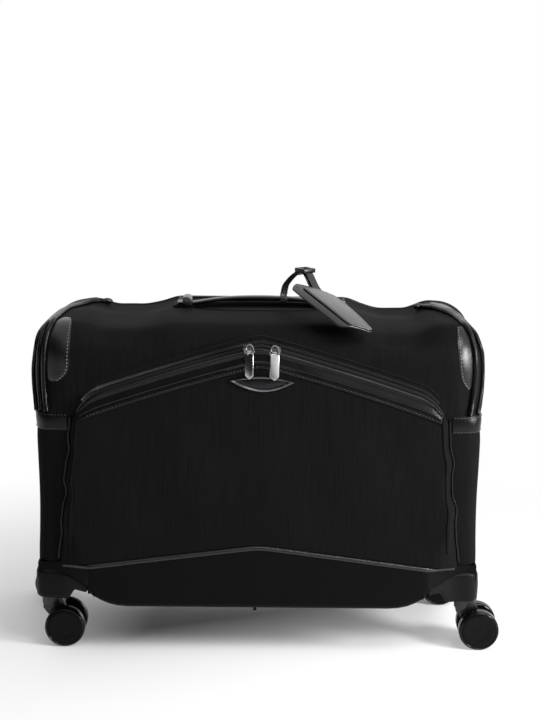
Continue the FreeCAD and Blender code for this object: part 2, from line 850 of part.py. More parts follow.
# Carry handle over a well in the top, on two legs that lift through brackets.
well_low = "(body_top - well_depth)"
well_front = "(handle_depth - well_width / 2)"
cup = block(
    "well_cup", ("2 * well_half", "well_width", "well_depth"),
    ("-well_half", well_front, well_low),
)
cup_hollow = block(
    "well_hollow",
    ("2 * well_half - 2 * well_wall", "well_width - 2 * well_wall", "well_depth"),
    ("well_wall - well_half", well_front + " + well_wall", well_low + " + well_wall"),
)
keep(cut("handle_well", cup, [cup_hollow]))
brackets = []
for tag, sign in (("left", -1), ("right", 1)):
    middle = mirror(sign, "handle_half - leg_thick / 2")
    plate = block(
        "bracket_plate_" + tag, ("leg_thick + 8", "handle_width + 10", "bracket_thick"),
        (middle + " - leg_thick / 2 - 4", "handle_depth - handle_width / 2 - 5", "body_top"),
    )
    slot = leg_hole("bracket_slot_" + tag, sign, "body_top - 1", "bracket_thick + 2")
    brackets.append(cut("bracket_" + tag, plate, [slot]))
keep(group("handle_brackets", brackets))
leg_end = "(body_top - shell_wall - handle_lift - 1)"
bar_top = "(body_top + handle_rise)"
leg_inner = "handle_half - leg_thick"
handle_side = [
    ("handle_half", leg_end), ("handle_half", "body_top + bracket_thick + 3"),
    ("handle_half - 36", bar_top),
]
handle_under = [
    ("handle_half - 40", bar_top + " - handle_bar"),
    (leg_inner, "body_top + bracket_thick + 0.6"), (leg_inner, leg_end),
]
handle_points = handle_side + flip(handle_side) + flip(handle_under) + handle_under
handle = prism(
    "carry_handle", "XZ", handle_points, "handle_width",
    ("0", "handle_depth + handle_width / 2", "0"),
)
feet = []
for tag, sign in (("left", -1), ("right", 1)):
    middle = mirror(sign, "handle_half - leg_thick / 2")
    feet.append(block(
        "foot_" + tag, ("leg_thick + 5", "handle_width + 6", "foot_thick"),
        (
            middle + " - leg_thick / 2 - 2.5", "handle_depth - handle_width / 2 - 3",
            leg_end + " - foot_thick",
        ),
    ))
keep(handle, group("handle_feet", feet))

# Luggage tag: a strap looped on the handle, a buckle, a plate and its flap.
loop_block = block(
    "strap_loop_block", ("strap_wide", "handle_width + 2 * strap_thick", "handle_bar + 4"),
    (
        "strap_spot - strap_wide / 2", "handle_depth - handle_width / 2 - strap_thick",
        bar_top + " - handle_bar - 2",
    ),
)
loop = cut("strap_loop", loop_block, [handle])
strap_steps = [
    (0, 1), (2, 20), (20, 36), (44, 38), (66, 30), (82, 21),
    (82, 18.5), (66, 27), (44, 35.6), (21, 33.6), (5, 19), (3.5, 1),
]
strap_line = [
    ("strap_reach * %s / 82" % along, bar_top + " + strap_rise * %s / 38" % above)
    for along, above in strap_steps
]
strap = prism("strap_rise", "XZ", strap_line, "strap_wide", ("0", "0", "0"))
strap.Placement = FreeCAD.Placement(
    FreeCAD.Vector(), FreeCAD.Rotation(FreeCAD.Vector(0, 0, 1), -66.3)
)
place(strap, ("strap_spot", "handle_depth + 2", "0"))
tag_turn = FreeCAD.Rotation(28.3, 17.8, 15.3)
tag_spot = ("tag_spot_right", "handle_depth - tag_spot_ahead", "body_top + tag_spot_rise")
tag_outline = [
    ("tag_corner", "0"), ("tag_wide - tag_corner", "0"),
    ("tag_wide", "-tag_corner"), ("tag_wide", "8 - tag_long"),
    ("tag_wide - 8", "-tag_long"), ("8", "-tag_long"), ("0", "8 - tag_long"), ("0", "-tag_corner"),
]
tag_room = group("tag_room", [rod(
    "tag_swing_room", "tag_clearance", "tag_wide", ("0", "-6.5", "tag_thick / 2"), "x",
)])
tag_room.Placement = FreeCAD.Placement(FreeCAD.Vector(), tag_turn)
place(tag_room, tag_spot)
keep(cut("tag_strap", join("strap_whole", [loop, strap]), [tag_room]))
buckle = block(
    "tag_buckle", ("buckle_long", "strap_wide + 4", "buckle_thick"), ("0", "0", "0"),
)
buckle.Placement = FreeCAD.Placement(
    FreeCAD.Vector(), FreeCAD.Rotation(FreeCAD.Vector(0, 0, 1), -66.3)
)
place(buckle, ("buckle_spot", "handle_depth - buckle_ahead", bar_top + " + strap_rise"))
keep(buckle)
tag_base = prism("tag_base", "XY", tag_outline, "tag_thick")
slot_at = ("tag_wide / 2 - strap_wide / 2 - 1.5", "-9", "-1")
tag_slot = block("tag_slot", ("strap_wide + 3", "5", "tag_thick + 2"), slot_at)
tag_plate = group("tag_plate", [cut("tag_slotted", tag_base, [tag_slot])])
flap_outline = [
    ("4", "-16"), ("tag_wide - 4", "-16"), ("tag_wide - 4", "6 - tag_long"), ("4", "6 - tag_long"),
]
tag_flap = group("tag_flap", [prism(
    "tag_flap_sheet", "XY", flap_outline, "tag_flap_thick", ("0", "0", "tag_thick"),
)])
for piece in (tag_plate, tag_flap):
    piece.Placement = FreeCAD.Placement(FreeCAD.Vector(), tag_turn)
    place(piece, tag_spot)
    keep(piece)


# Trolley: a bezel cup in the top and telescoping tubes inside a lined channel.
def tube_pair(label, shrink, low, high):
    wide = "(tube_wide - 2 * (%s))" % shrink
    deep = "(tube_deep - 2 * (%s))" % shrink
    tubes = []
    for tag, sign in (("left", -1), ("right", 1)):
        middle = mirror(sign, "tube_half")
        solid = block(
            "%s_solid_%s" % (label, tag), (wide, deep, "%s - (%s)" % (high, low)),
            ("%s - %s / 2" % (middle, wide), "tube_depth - %s / 2" % deep, low),
        )
        core = block(
            "%s_core_%s" % (label, tag),
            (wide + " - 2 * tube_wall", deep + " - 2 * tube_wall", "%s - (%s) + 2" % (high, low)),
            (
                "%s - %s / 2 + tube_wall" % (middle, wide),
                "tube_depth - %s / 2 + tube_wall" % deep, "%s - 1" % low,
            ),
        )
        tubes.append(cut("%s_%s" % (label, tag), solid, [core]))
    return group(label, tubes)


pan_floor = "(base_low + base_wall)"
cup_low = "(body_top - bezel_cup)"
stage = "(tube_wall + tube_gap)"
keep(
    tube_pair("outer_tubes", "0", pan_floor, cup_low),
    tube_pair("mid_tubes", stage, pan_floor + " + 12", cup_low + " - 0.5"),
    tube_pair(
        "inner_tubes", "2 * " + stage, pan_floor + " + 24", cup_low + " + bezel_wall + 1",
    ),
)
bezel_front = "(tube_depth - bezel_deep / 2)"
bezel_cup = block(
    "bezel_cup_solid", ("2 * bezel_half", "bezel_deep", "bezel_cup"),
    ("-bezel_half", bezel_front, cup_low),
)
bezel_rim = block(
    "bezel_rim", ("2 * bezel_half + 6", "bezel_deep + 6", "1.5"),
    ("-bezel_half - 3", bezel_front + " - 3", "body_top"),
)
bezel_hollow = block(
    "bezel_hollow",
    ("2 * bezel_half - 2 * bezel_wall", "bezel_deep - 2 * bezel_wall", "bezel_cup + 4"),
    ("bezel_wall - bezel_half", bezel_front + " + bezel_wall", cup_low + " + bezel_wall"),
)
mid_wide = "(tube_wide - 2 * tube_wall - tube_gap)"
mid_deep = "(tube_deep - 2 * tube_wall - tube_gap)"
ports = []
for tag, sign in (("left", -1), ("right", 1)):
    middle = mirror(sign, "tube_half")
    ports.append(block(
        "bezel_port_" + tag, (mid_wide, mid_deep, "bezel_wall + 2"),
        (
            "%s - %s / 2" % (middle, mid_wide), "tube_depth - %s / 2" % mid_deep,
            cup_low + " - 1",
        ),
    ))
bezel_solid = join("bezel_solid", [bezel_cup, bezel_rim])
keep(cut("trolley_bezel", bezel_solid, [bezel_hollow] + ports))
grip_low = "(%s + bezel_wall + 1)" % cup_low
grip_deep = "(bezel_deep - 2 * bezel_wall - 2 * grip_gap)"
grip_half = "(bezel_half - bezel_wall - grip_gap)"
grip_bar = block(
    "grip_bar", ("2 * " + grip_half, grip_deep, "grip_high"),
    ("-" + grip_half, "tube_depth - %s / 2" % grip_deep, grip_low),
)
button_top = grip_low + " + grip_high"
button_bed = block(
    "button_bed",
    ("button_long", "button_wide", "button_high + button_stroke + 0.5"),
    ("-button_long / 2", "tube_depth - button_wide / 2", button_top + " - button_high - button_stroke"),
)
keep(cut("trolley_grip", grip_bar, [button_bed]))
keep(block(
    "grip_button", ("button_long - 0.6", "button_wide - 0.6", "button_high + 1"),
    ("0.3 - button_long / 2", "tube_depth - button_wide / 2 + 0.3", button_top + " - button_high + 0.3"),
))
channel = [
    ("-channel_half", SHELL_END), ("-channel_half", "channel_front"),
    ("channel_half", "channel_front"), ("channel_half", SHELL_END),
    ("channel_half - channel_wall", SHELL_END),
    ("channel_half - channel_wall", "channel_front + channel_wall"),
    ("channel_wall - channel_half", "channel_front + channel_wall"),
    ("channel_wall - channel_half", SHELL_END),
]
keep(prism(
    "lining_channel", "XY", channel, "body_top - shell_wall - %s" % pan_floor,
    ("0", "0", pan_floor),
))

doc.recompute()

# Every object must have built, and every node is written out as its own file.
for item in doc.Objects:
    if "Invalid" in item.State or "Error" in item.State:
        raise RuntimeError("%s did not build" % item.Label)
os.makedirs("parts", exist_ok=True)
for item in NODES:
    shape = item.Shape
    if shape.isNull() or not shape.isValid():
        raise RuntimeError("%s has no valid shape" % item.Label)
    shape.exportStep(os.path.join("parts", item.Label + ".step"))
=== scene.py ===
import bpy
import math
import numpy as np
from mathutils import Matrix, Vector
from mathutils.bvhtree import BVHTree


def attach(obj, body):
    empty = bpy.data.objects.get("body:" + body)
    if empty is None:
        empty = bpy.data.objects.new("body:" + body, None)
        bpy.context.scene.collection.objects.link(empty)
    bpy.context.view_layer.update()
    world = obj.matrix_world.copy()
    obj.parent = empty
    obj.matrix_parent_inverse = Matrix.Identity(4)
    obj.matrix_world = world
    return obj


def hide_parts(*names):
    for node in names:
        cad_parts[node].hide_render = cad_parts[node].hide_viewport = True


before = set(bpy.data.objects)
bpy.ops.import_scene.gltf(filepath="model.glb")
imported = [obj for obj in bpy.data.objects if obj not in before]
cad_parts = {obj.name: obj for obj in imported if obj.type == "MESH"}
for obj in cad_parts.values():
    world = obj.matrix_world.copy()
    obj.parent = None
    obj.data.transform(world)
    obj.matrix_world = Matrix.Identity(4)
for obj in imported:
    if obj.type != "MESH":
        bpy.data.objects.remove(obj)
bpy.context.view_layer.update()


# Studio: a white paper floor that runs out to white, soft light that is strongest from the upper right
# behind, a lamp near on the right, a softbox above, and the camera at the photograph's place. Close to the
# case, and most of all ahead of it and toward its right, the floor's white is painted light that lifts the
# case's shadow.
def feed(tree, node, inputs):
    # Sets a node's inputs, each to a plain value or to another node's output.
    for socket, value in inputs.items():
        if isinstance(value, bpy.types.NodeSocket):
            tree.links.new(value, node.inputs[socket])
        else:
            node.inputs[socket].default_value = value


def add_node(tree, kind, inputs, **settings):
    made = tree.nodes.new("ShaderNode" + kind)
    for setting, value in settings.items():
        setattr(made, setting, value)
    feed(tree, made, inputs)
    return made


def math_node(tree, operation, *terms):
    return add_node(tree, "Math", dict(enumerate(terms)), operation=operation).outputs["Value"]


def vector_value(tree, operation, *terms):
    return add_node(tree, "VectorMath", dict(enumerate(terms)), operation=operation).outputs["Value"]


def map_range(tree, value, low, high, to_low=0.0, to_high=1.0):
    return add_node(tree, "MapRange", {
        "Value": value, "From Min": low, "From Max": high, "To Min": to_low, "To Max": to_high,
    }).outputs["Result"]


def ramp(tree, factor, stops):
    # A colour ramp through stops, each a place and a colour.
    made = add_node(tree, "ValToRGB", {"Fac": factor})
    elements = made.color_ramp.elements
    for element, (place, colour) in zip(elements, (stops[0], stops[-1])):
        element.position = place
        element.color = (*colour, 1)
    for place, colour in stops[1:-1]:
        elements.new(place).color = (*colour, 1)
    return made.outputs["Color"]


def white_where_seen(tree, plain, white, mirror_mask, direct_mask=1.0):
    # Shows white to camera and transmission rays, and to glossy rays where the mask lets it.
    ray = add_node(tree, "LightPath", {}).outputs
    clear = math_node(tree, "MAXIMUM", ray["Is Camera Ray"], ray["Is Transmission Ray"])
    direct = math_node(tree, "MULTIPLY", clear, direct_mask)
    mirror = math_node(tree, "MULTIPLY", ray["Is Glossy Ray"], mirror_mask)
    choice = {0: math_node(tree, "MAXIMUM", direct, mirror), 1: plain, 2: white}
    return add_node(tree, "MixShader", choice).outputs["Shader"]


def start_paint(name):
    # A new material, its tree, its shader and the object coordinates that its textures read.
    paint = bpy.data.materials.new(name)
    paint.use_nodes = True
    tree = paint.node_tree
    where = add_node(tree, "TexCoord", {}).outputs["Object"]
    return paint, tree, tree.nodes["Principled BSDF"], where


bpy.ops.object.select_all(action="DESELECT")
bpy.context.scene.view_settings.view_transform = "Standard"
bpy.ops.object.camera_add()
camera = bpy.context.object
camera.name = "photo_camera"
camera_place = Matrix.Translation((0.0115, -2.137, 0.793))
camera_tilt = Matrix.Rotation(math.radians(78.25), 4, "X")
camera_roll = Matrix.Rotation(math.radians(0.55), 4, "Z")
camera.matrix_world = camera_place @ camera_tilt @ camera_roll
camera.data.sensor_fit = "VERTICAL"
camera.data.sensor_height = 36
camera.data.lens = 86.65
bpy.context.scene.camera = camera

world = bpy.data.worlds.new("studio_air")
bpy.context.scene.world = world
world.use_nodes = True
air = world.node_tree
air_light = air.nodes["Background"]
air_white = add_node(air, "Background", {"Color": (1, 1, 1, 1)})
air_way = add_node(air, "TexCoord", {}).outputs["Generated"]
bright_way = (0.62, 0.35, 0.70)
air_turn = vector_value(air, "DOT_PRODUCT", air_way, bright_way)
air_stops = [(0, (0.012, 0.012, 0.0125))]
for place, level in ((0.3, 0.03), (0.46, 0.22), (0.7, 0.72)):
    air_stops.append((place, (level, level, level * 1.01)))
air_stops += [(1, (1.0, 1.0, 1.0))]
feed(air, air_light, {"Color": ramp(air, map_range(air, air_turn, -1.0, 1.0), air_stops), "Strength": 0.86})
feed(air, air.nodes["World Output"], {"Surface": white_where_seen(
    air, air_light.outputs["Background"], air_white.outputs["Background"],
    map_range(air, air_turn, 0.0, 0.35),
)})


def studio_light(name, place, target, power, shape, size, size_y):
    bpy.ops.object.light_add(type="AREA", location=place)
    lamp = bpy.context.object
    lamp.name = name
    lamp.data.shape = shape
    lamp.data.size = size
    lamp.data.size_y = size_y
    lamp.data.energy = power
    aim = Vector(target) - Vector(place)
    lamp.rotation_euler = aim.to_track_quat("-Z", "Y").to_euler()


studio_light("lamp_right", (1.0, -0.54, 0.58), (0.1, 0, 0.25), 12.5, "DISK", 0.3, 0.3)
studio_light("softbox_above", (0.75, -0.85, 1.5), (0.05, 0, 0.3), 12.5, "RECTANGLE", 0.8, 0.45)

bpy.ops.mesh.primitive_plane_add(size=400, location=(0, 0, 0))
floor = bpy.context.object
floor.name = "studio_floor"
floor_paint, paper, floor_shader, floor_where = start_paint("floor_paper")
feed(paper, floor_shader, {"Base Color": (0.94, 0.94, 0.945, 1), "Roughness": 0.7, "Specular IOR Level": 0.1})
# Painted light: to the camera the floor turns to white emission from 0.14 m out, and sooner ahead of the case
# and toward its right. That white lifts the case's shadow near it; far off it is the white runout.
floor_runout_and_lift = map_range(paper, vector_value(paper, "LENGTH", floor_where), 0.14, 0.8)
floor_ahead = vector_value(paper, "DOT_PRODUCT", floor_where, (0.4, -1, 0))
floor_shadow_lift = map_range(paper, floor_ahead, -0.03, 0.46)
floor_behind = map_range(paper, floor_ahead, 0.4, 0.05)
feed(paper, paper.nodes["Material Output"], {"Surface": white_where_seen(
    paper, floor_shader.outputs["BSDF"], add_node(paper, "Emission", {}).outputs["Emission"],
    math_node(paper, "MULTIPLY", floor_runout_and_lift, floor_behind),
    math_node(paper, "MAXIMUM", floor_runout_and_lift, floor_shadow_lift),
)})
floor.data.materials.append(floor_paint)


# Base pan: a smooth tray moulded in black plastic, with a peaked front wall that stands forward
# under the pocket, rounded under its front edge and lifted at both ends over the casters.
def lone(piece):
    bpy.ops.object.select_all(action="DESELECT")
    piece.select_set(True)
    bpy.context.view_layer.objects.active = piece


def pick(piece, kind, wanted):
    # Opens edit mode with the edges or faces chosen by their place.
    lone(piece)
    bpy.ops.object.mode_set(mode="EDIT")
    bpy.ops.mesh.select_mode(type=kind)
    bpy.ops.mesh.select_all(action="DESELECT")
    bpy.ops.object.mode_set(mode="OBJECT")
    mesh = piece.data
    if kind == "FACE":
        for face in mesh.polygons:
            face.select = bool(wanted(face.center, face.normal))
    else:
        for edge in mesh.edges:
            first, second = edge.vertices
            edge.select = bool(wanted(mesh.vertices[first].co, mesh.vertices[second].co))
    bpy.ops.object.mode_set(mode="EDIT")


def open_all(piece):
    pick(piece, "FACE", lambda middle, normal: True)


def leave_edit():
    bpy.ops.object.mode_set(mode="OBJECT")


def face_out():
    # Turns all faces of the mesh in edit mode outward and leaves edit mode.
    bpy.ops.mesh.select_all(action="SELECT")
    bpy.ops.mesh.normals_make_consistent(inside=False)
    leave_edit()


def cut_across(piece, place, way):
    # Cuts a row of edges through a mesh where a plane meets it.
    open_all(piece)
    bpy.ops.mesh.bisect(plane_co=place, plane_no=way)
    leave_edit()


def bevel_edges(piece, offset, steps, wanted):
    pick(piece, "EDGE", wanted)
    bpy.ops.mesh.bevel(offset=offset, segments=steps, affect="EDGES")
    leave_edit()


def settle(piece):
    lone(piece)
    for step in [modifier.name for modifier in piece.modifiers]:
        bpy.ops.object.modifier_apply(modifier=step)


def walled(piece, thickness):
    # Gives an open skin its thickness, inward.
    wall = piece.modifiers.new("wall", "SOLIDIFY")
    wall.thickness = thickness
    wall.offset = -1
    settle(piece)


def outline_plate(name, corners):
    # A flat face with the given corners, as a start for an extrusion.
    bpy.ops.object.select_all(action="DESELECT")
    bpy.ops.mesh.primitive_circle_add(vertices=len(corners), radius=1, fill_type="NGON")
    plate = bpy.context.object
    plate.name = name
    for corner, spot in zip(plate.data.vertices, corners):
        corner.co = spot
    return plate


def finish(piece, paint, body, angle=35):
    lone(piece)
    bpy.ops.object.shade_smooth_by_angle(angle=math.radians(angle))
    piece.data.materials.clear()
    piece.data.materials.append(paint)
    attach(piece, body)
    return piece


def noise(tree, where, scale, detail):
    return add_node(tree, "TexNoise", {"Vector": where, "Scale": scale, "Detail": detail}).outputs["Fac"]


def two_tone(tree, factor, tone, dark, light, low=0, high=1):
    # A colour that runs from a darker to a lighter shade of one tone.
    shades = [[share * part for part in tone] for share in (dark, light)]
    return ramp(tree, factor, ((low, shades[0]), (high, shades[1])))


def bump(tree, height, strength, depth):
    inputs = {"Height": height, "Strength": strength, "Distance": depth}
    return add_node(tree, "Bump", inputs).outputs["Normal"]


def moulded_paint(name, tone, rough, grain, depth, gleam=0.5):
    # Satin moulded plastic: a fine spark-eroded grain and faint cloudiness in the gloss.
    paint, tree, shader, where = start_paint(name)
    cloud = noise(tree, where, 28, 5)
    feed(tree, shader, {
        "Base Color": two_tone(tree, cloud, tone, 0.8, 1.25),
        "Roughness": map_range(tree, cloud, 0, 1, rough - 0.06, rough + 0.08),
        "Normal": bump(tree, noise(tree, where, grain, 3), 0.35, depth),
        "Specular IOR Level": gleam,
    })
    return paint


base_plastic = moulded_paint("base_plastic", (0.0034, 0.0034, 0.0036), 0.42, 1600, 0.0001, 0.05)
base_plan = [
    (-0.272, -0.0965), (-0.246, -0.0965), (-0.206, -0.123), (0.0, -0.123), (0.206, -0.123),
    (0.244, -0.0965), (0.2685, -0.0965), (0.2685, 0.123), (-0.272, 0.123),
]
base_floor, wall_low, wall_peak, wall_reach = 0.062, 0.1125, 0.032, 0.246
lift_start, lift_run, lift_high = 0.16, 0.0525, 0.021
base = outline_plate("base_tray", [(x, y, base_floor) for x, y in base_plan])
open_all(base)
bpy.ops.mesh.normals_make_consistent(inside=False)
bpy.ops.mesh.extrude_region_move(TRANSFORM_OT_translate={"value": (0, 0, 0.05)})
bpy.ops.mesh.delete(type="ONLY_FACE")
leave_edit()
for corner in base.data.vertices:
    if corner.co.z > 0.1 and corner.co.y < -0.12:
        corner.co.z = wall_low + wall_peak * (1 - abs(corner.co.x) / wall_reach)
for across in (lift_start, 0.172, 0.183, 0.193, 0.2015, 0.2085, 0.214, 0.2185):
    for way in (-1, 1):
        cut_across(base, (way * across, 0, 0), (1, 0, 0))
for corner in base.data.vertices:
    if corner.co.z < 0.07:
        beyond = min(1.0, max(0.0, (abs(corner.co.x) - lift_start) / lift_run))
        corner.co.z = base_floor + lift_high * beyond ** 2.2
open_all(base)
bpy.ops.mesh.remove_doubles(threshold=0.0002)
bpy.ops.mesh.normals_make_consistent(inside=False)
leave_edit()
bevel_edges(base, 0.016, 5, lambda a, b: (
    abs(a.z - b.z) > 0.02 and a.y < -0.09 and b.y < -0.09 and abs(a.x) > 0.2 and abs(a.x - b.x) < 0.002
    and min(abs(abs(a.x) - k) for k in (0.206, 0.245)) < 0.002
))
bevel_edges(base, 0.009, 4, lambda a, b: max(a.z, b.z) < 0.0835 and not (
    abs(a.y - b.y) > 0.05 and abs(a.x - b.x) < 0.01 and abs(a.x) < 0.268
))
walled(base, 0.0028)
base_skin = BVHTree.FromObject(base, bpy.context.evaluated_depsgraph_get())
finish(base, base_plastic, "case", 40)
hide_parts("base_pan")


# Body cloth: the hood and both end caps, sewn from black woven nylon over thin foam and closed round a frame.
# It is lofted from the pocket's mouth over the front edge to the back seam, is slack between the end caps and
# the handle, and ends at the outline of the handle's opening.
MM = 0.001


def ease(low, high, value):
    part = np.clip((value - low) / (high - low), 0, 1)
    return part * part * (3 - 2 * part)


def spots(piece):
    places = np.empty(len(piece.data.vertices) * 3)
    piece.data.vertices.foreach_get("co", places)
    return places.reshape(-1, 3)


def set_spots(piece, places):
    piece.data.vertices.foreach_set("co", places.ravel())
    piece.data.update()


def sheet_grid(name, places, heart=None):
    # A grid with its points at the given rows of places, in metres, faced away from a heart point.
    rows, columns = places.shape[:2]
    bpy.ops.object.select_all(action="DESELECT")
    bpy.ops.mesh.primitive_grid_add(x_subdivisions=columns - 1, y_subdivisions=rows - 1, size=2)
    sheet = bpy.context.object
    sheet.name = name
    set_spots(sheet, np.ascontiguousarray(places.reshape(-1, 3)))
    if heart:
        away = [(face.center - Vector(heart)).dot(face.normal) * face.area for face in sheet.data.polygons]
        if sum(away) < 0:
            open_all(sheet)
            bpy.ops.mesh.flip_normals()
            leave_edit()
    return sheet


def woven_paint(name, tone, rough, pitch, sheen):
    # Plain-weave nylon: threads each way at the given pitch and long vertical slubs in the yarn.
    paint, tree, shader, where = start_paint(name)
    wave = {"Vector": where, "Scale": 0.314 / pitch, "Distortion": 0.6, "Detail Scale": 0.4}
    threads = [add_node(tree, "TexWave", wave, bands_direction=way).outputs["Fac"] for way in "XYZ"]
    weave = math_node(tree, "ADD", math_node(tree, "ADD", threads[0], threads[1]), threads[2])
    stretch = add_node(tree, "Mapping", {"Vector": where, "Scale": (620, 90, 20)}).outputs["Vector"]
    slub = noise(tree, stretch, 1.0, 3)
    feed(tree, shader, {
        "Base Color": two_tone(tree, slub, tone, 0.8, 1.22, 0.3, 0.7),
        "Normal": bump(tree, math_node(tree, "MULTIPLY_ADD", weave, 0.35, slub), 0.5, 0.00025),
        "Roughness": rough, "Specular IOR Level": 0.03, "Sheen Weight": sheen, "Sheen Roughness": 0.45,
    })
    return paint


nylon = woven_paint("woven_nylon_black", (0.0064, 0.0062, 0.0064), 0.66, 0.9, 0.0)
lining = woven_paint("lining_charcoal", (0.02, 0.02, 0.022), 0.5, 0.5, 0.08)


def foam_backed(cloth, thickness, body):
    # Nylon with foam behind it and a lining over the foam.
    foam = cloth.modifiers.new("foam", "SOLIDIFY")
    foam.thickness = thickness
    foam.offset = -1
    foam.material_offset = 1
    foam.material_offset_rim = 1
    cloth.data.materials.append(nylon)
    cloth.data.materials.append(lining)
    settle(cloth)
    bpy.ops.object.shade_smooth_by_angle(angle=math.radians(60))
    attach(cloth, body)


SIDE_STEPS, CORNER_STEPS, TOP_STEPS = 46, 24, 52
FRONT_ROWS, ROLL_ROWS, DEPTH_ROWS = 14, 14, 44
FACE, BACK_SEAM, CLOTH_FOOT = -97.0, 119.5, 112.5
HALF_LEFT, HALF_RIGHT, TOP = 272.6, 269.6, 408.0
SIDE_ROLL, TOP_ROLL = 20.0, 46.0
FRONT_LEFT, FRONT_RIGHT, BACK_LEFT, BACK_RIGHT = 22.0, 28.0, 43.0, 38.0
FRONT_GROWTH = 8


def mirrored(left, right):
    # One row from the left half, turned over, and the right half run backwards.
    return np.concatenate([left * np.array([-1.0, 1.0]), right[-2::-1]])


def arch_row(half_left, half_right, high, round_left, round_right):
    # Points, in mm, up the left side, round the corner, along the top and down the right side.
    halves = []
    for half, bend in ((half_left, round_left), (half_right, round_right)):
        climb = np.linspace(CLOTH_FOOT, high - bend, SIDE_STEPS, endpoint=False)
        turn = np.linspace(0, np.pi / 2, CORNER_STEPS, endpoint=False)
        run = np.linspace(half - bend, 0, TOP_STEPS + 1)
        halves.append(np.concatenate([
            np.stack([np.full(SIDE_STEPS, half), climb], 1),
            np.stack([half - bend + bend * np.cos(turn), high - bend + bend * np.sin(turn)], 1),
            np.stack([run, np.full(TOP_STEPS + 1, high)], 1),
        ]))
    return mirrored(*halves)


def corner_fall(across):
    # How far the pocket's top edge falls toward its corners, in mm.
    return np.where(np.abs(across) > 190, 26 * (np.clip(np.abs(across) - 190, 0, 39) / 39) ** 2.6, 0)


def pocket_edge(across, inset):
    # Height of the pocket's arched top edge, in mm, at a distance across from the middle.
    away = np.abs(across)
    crown = 389.2 - 0.262 * np.sqrt(away * away + 36) - 0.00022 * away * away
    return crown - corner_fall(across) - inset


def mouth_row():
    # The cloth's front edge, in mm: up beside the pocket and over its arched top.
    low_reach, high_reach, corner_end, corner_foot, inset = 239, 221.5, 200, 292, 7
    side_climb = np.linspace(CLOTH_FOOT, corner_foot, SIDE_STEPS, endpoint=False)
    side_part = (side_climb - CLOTH_FOOT) / (corner_foot - CLOTH_FOOT)
    corner_reach = np.linspace(high_reach, corner_end, CORNER_STEPS, endpoint=False)
    corner_part = (high_reach - corner_reach) / (high_reach - corner_end)
    corner_rise = (pocket_edge(corner_end, inset) - corner_foot) * np.sin(corner_part * np.pi / 2)
    top_reach = np.linspace(corner_end, 0, TOP_STEPS + 1)
    half = np.concatenate([
        np.stack([low_reach - (low_reach - high_reach) * side_part, side_climb], 1),
        np.stack([corner_reach, corner_foot + corner_rise], 1),
        np.stack([top_reach, pocket_edge(top_reach, inset)], 1),
    ])
    return mirrored(half, half)


def at_depth(flat, side_depth, top_depth):
    # Sets a row in depth, in mm. Its corners carry it from the sides' depth to the top's.
    blend = np.concatenate([
        np.zeros(SIDE_STEPS), ease(0, 1, np.arange(CORNER_STEPS) / CORNER_STEPS), np.ones(TOP_STEPS + 1),
    ])
    half = side_depth + (top_depth - side_depth) * blend
    return np.column_stack([flat[:, 0], np.concatenate([half, half[-2::-1]]), flat[:, 1]])


def slacken(places):
    # Sags, rolls and soft waves of the cloth, in mm.
    x, y, z = places[..., 0].copy(), places[..., 1].copy(), places[..., 2].copy()
    away, way = np.abs(x), np.sign(x)
    left = x < 0
    top = ease(374, 405, z)
    slack = ease(108, 158, away) * (1 - ease(184, 222, away))
    z = z - top * slack * np.where(left, 8.5, 10.5) - 3.0 * top * ease(104, 130, away) * ease(20, 80, y)
    rolled = ease(205, 240, away)
    z = z - 5.0 * top * np.exp(-((y + 90) / 42) ** 2) * (1 - rolled)
    z = z - np.where(left, 2.2, 1.2) * top * rolled * ease(-60, 60, y)
    half = np.where(left, HALF_LEFT, HALF_RIGHT)
    tight, broad = (
        bend * (1 - np.sqrt(1 - np.clip((away - half + bend) / bend, 0, 0.999) ** 2)) for bend in (20, 38)
    )
    y = y + (broad - tight) * ease(290, 325, z) * (1 - ease(-82, -10, y))
    belly = ease(292, 330, z) * (1 - ease(345, 392, z)) * ease(235, 268, away)
    x = x + way * belly * np.where(left, 4.5, 2.0) * ease(-96, -60, y)
    side = ease(257, 269, away)
    x = x - way * side * 1.3 * np.exp(-((z - 285) / 9) ** 2)
    x = x - way * side * np.where(left, 1.2, 2.0) * np.exp(-((z - 190) / 55) ** 2)
    x = x + way * side * 0.7 * np.sin(y * 0.055 + z * 0.021 + way) * ease(120, 150, z)
    clear = np.maximum(ease(0, 22, z - pocket_edge(x, 0)), ease(240, 252, away) * ease(120, 150, z))
    facing = 1 - ease(-97, -80, y)
    wave = np.sin(x * 0.047 + 0.9) * np.cos(z * 0.034 + 0.5 + 0.004 * x) + 0.5 * np.sin(x * 0.021 - z * 0.03)
    y = y + facing * clear * 0.9 * (1.0 + 0.66 * wave)
    z = z + top * 0.9 * np.sin(x * 0.05 + 0.4) * np.sin(y * 0.04 + 1.0) * ease(100, 130, away)
    return np.stack([x, y, z], -1)


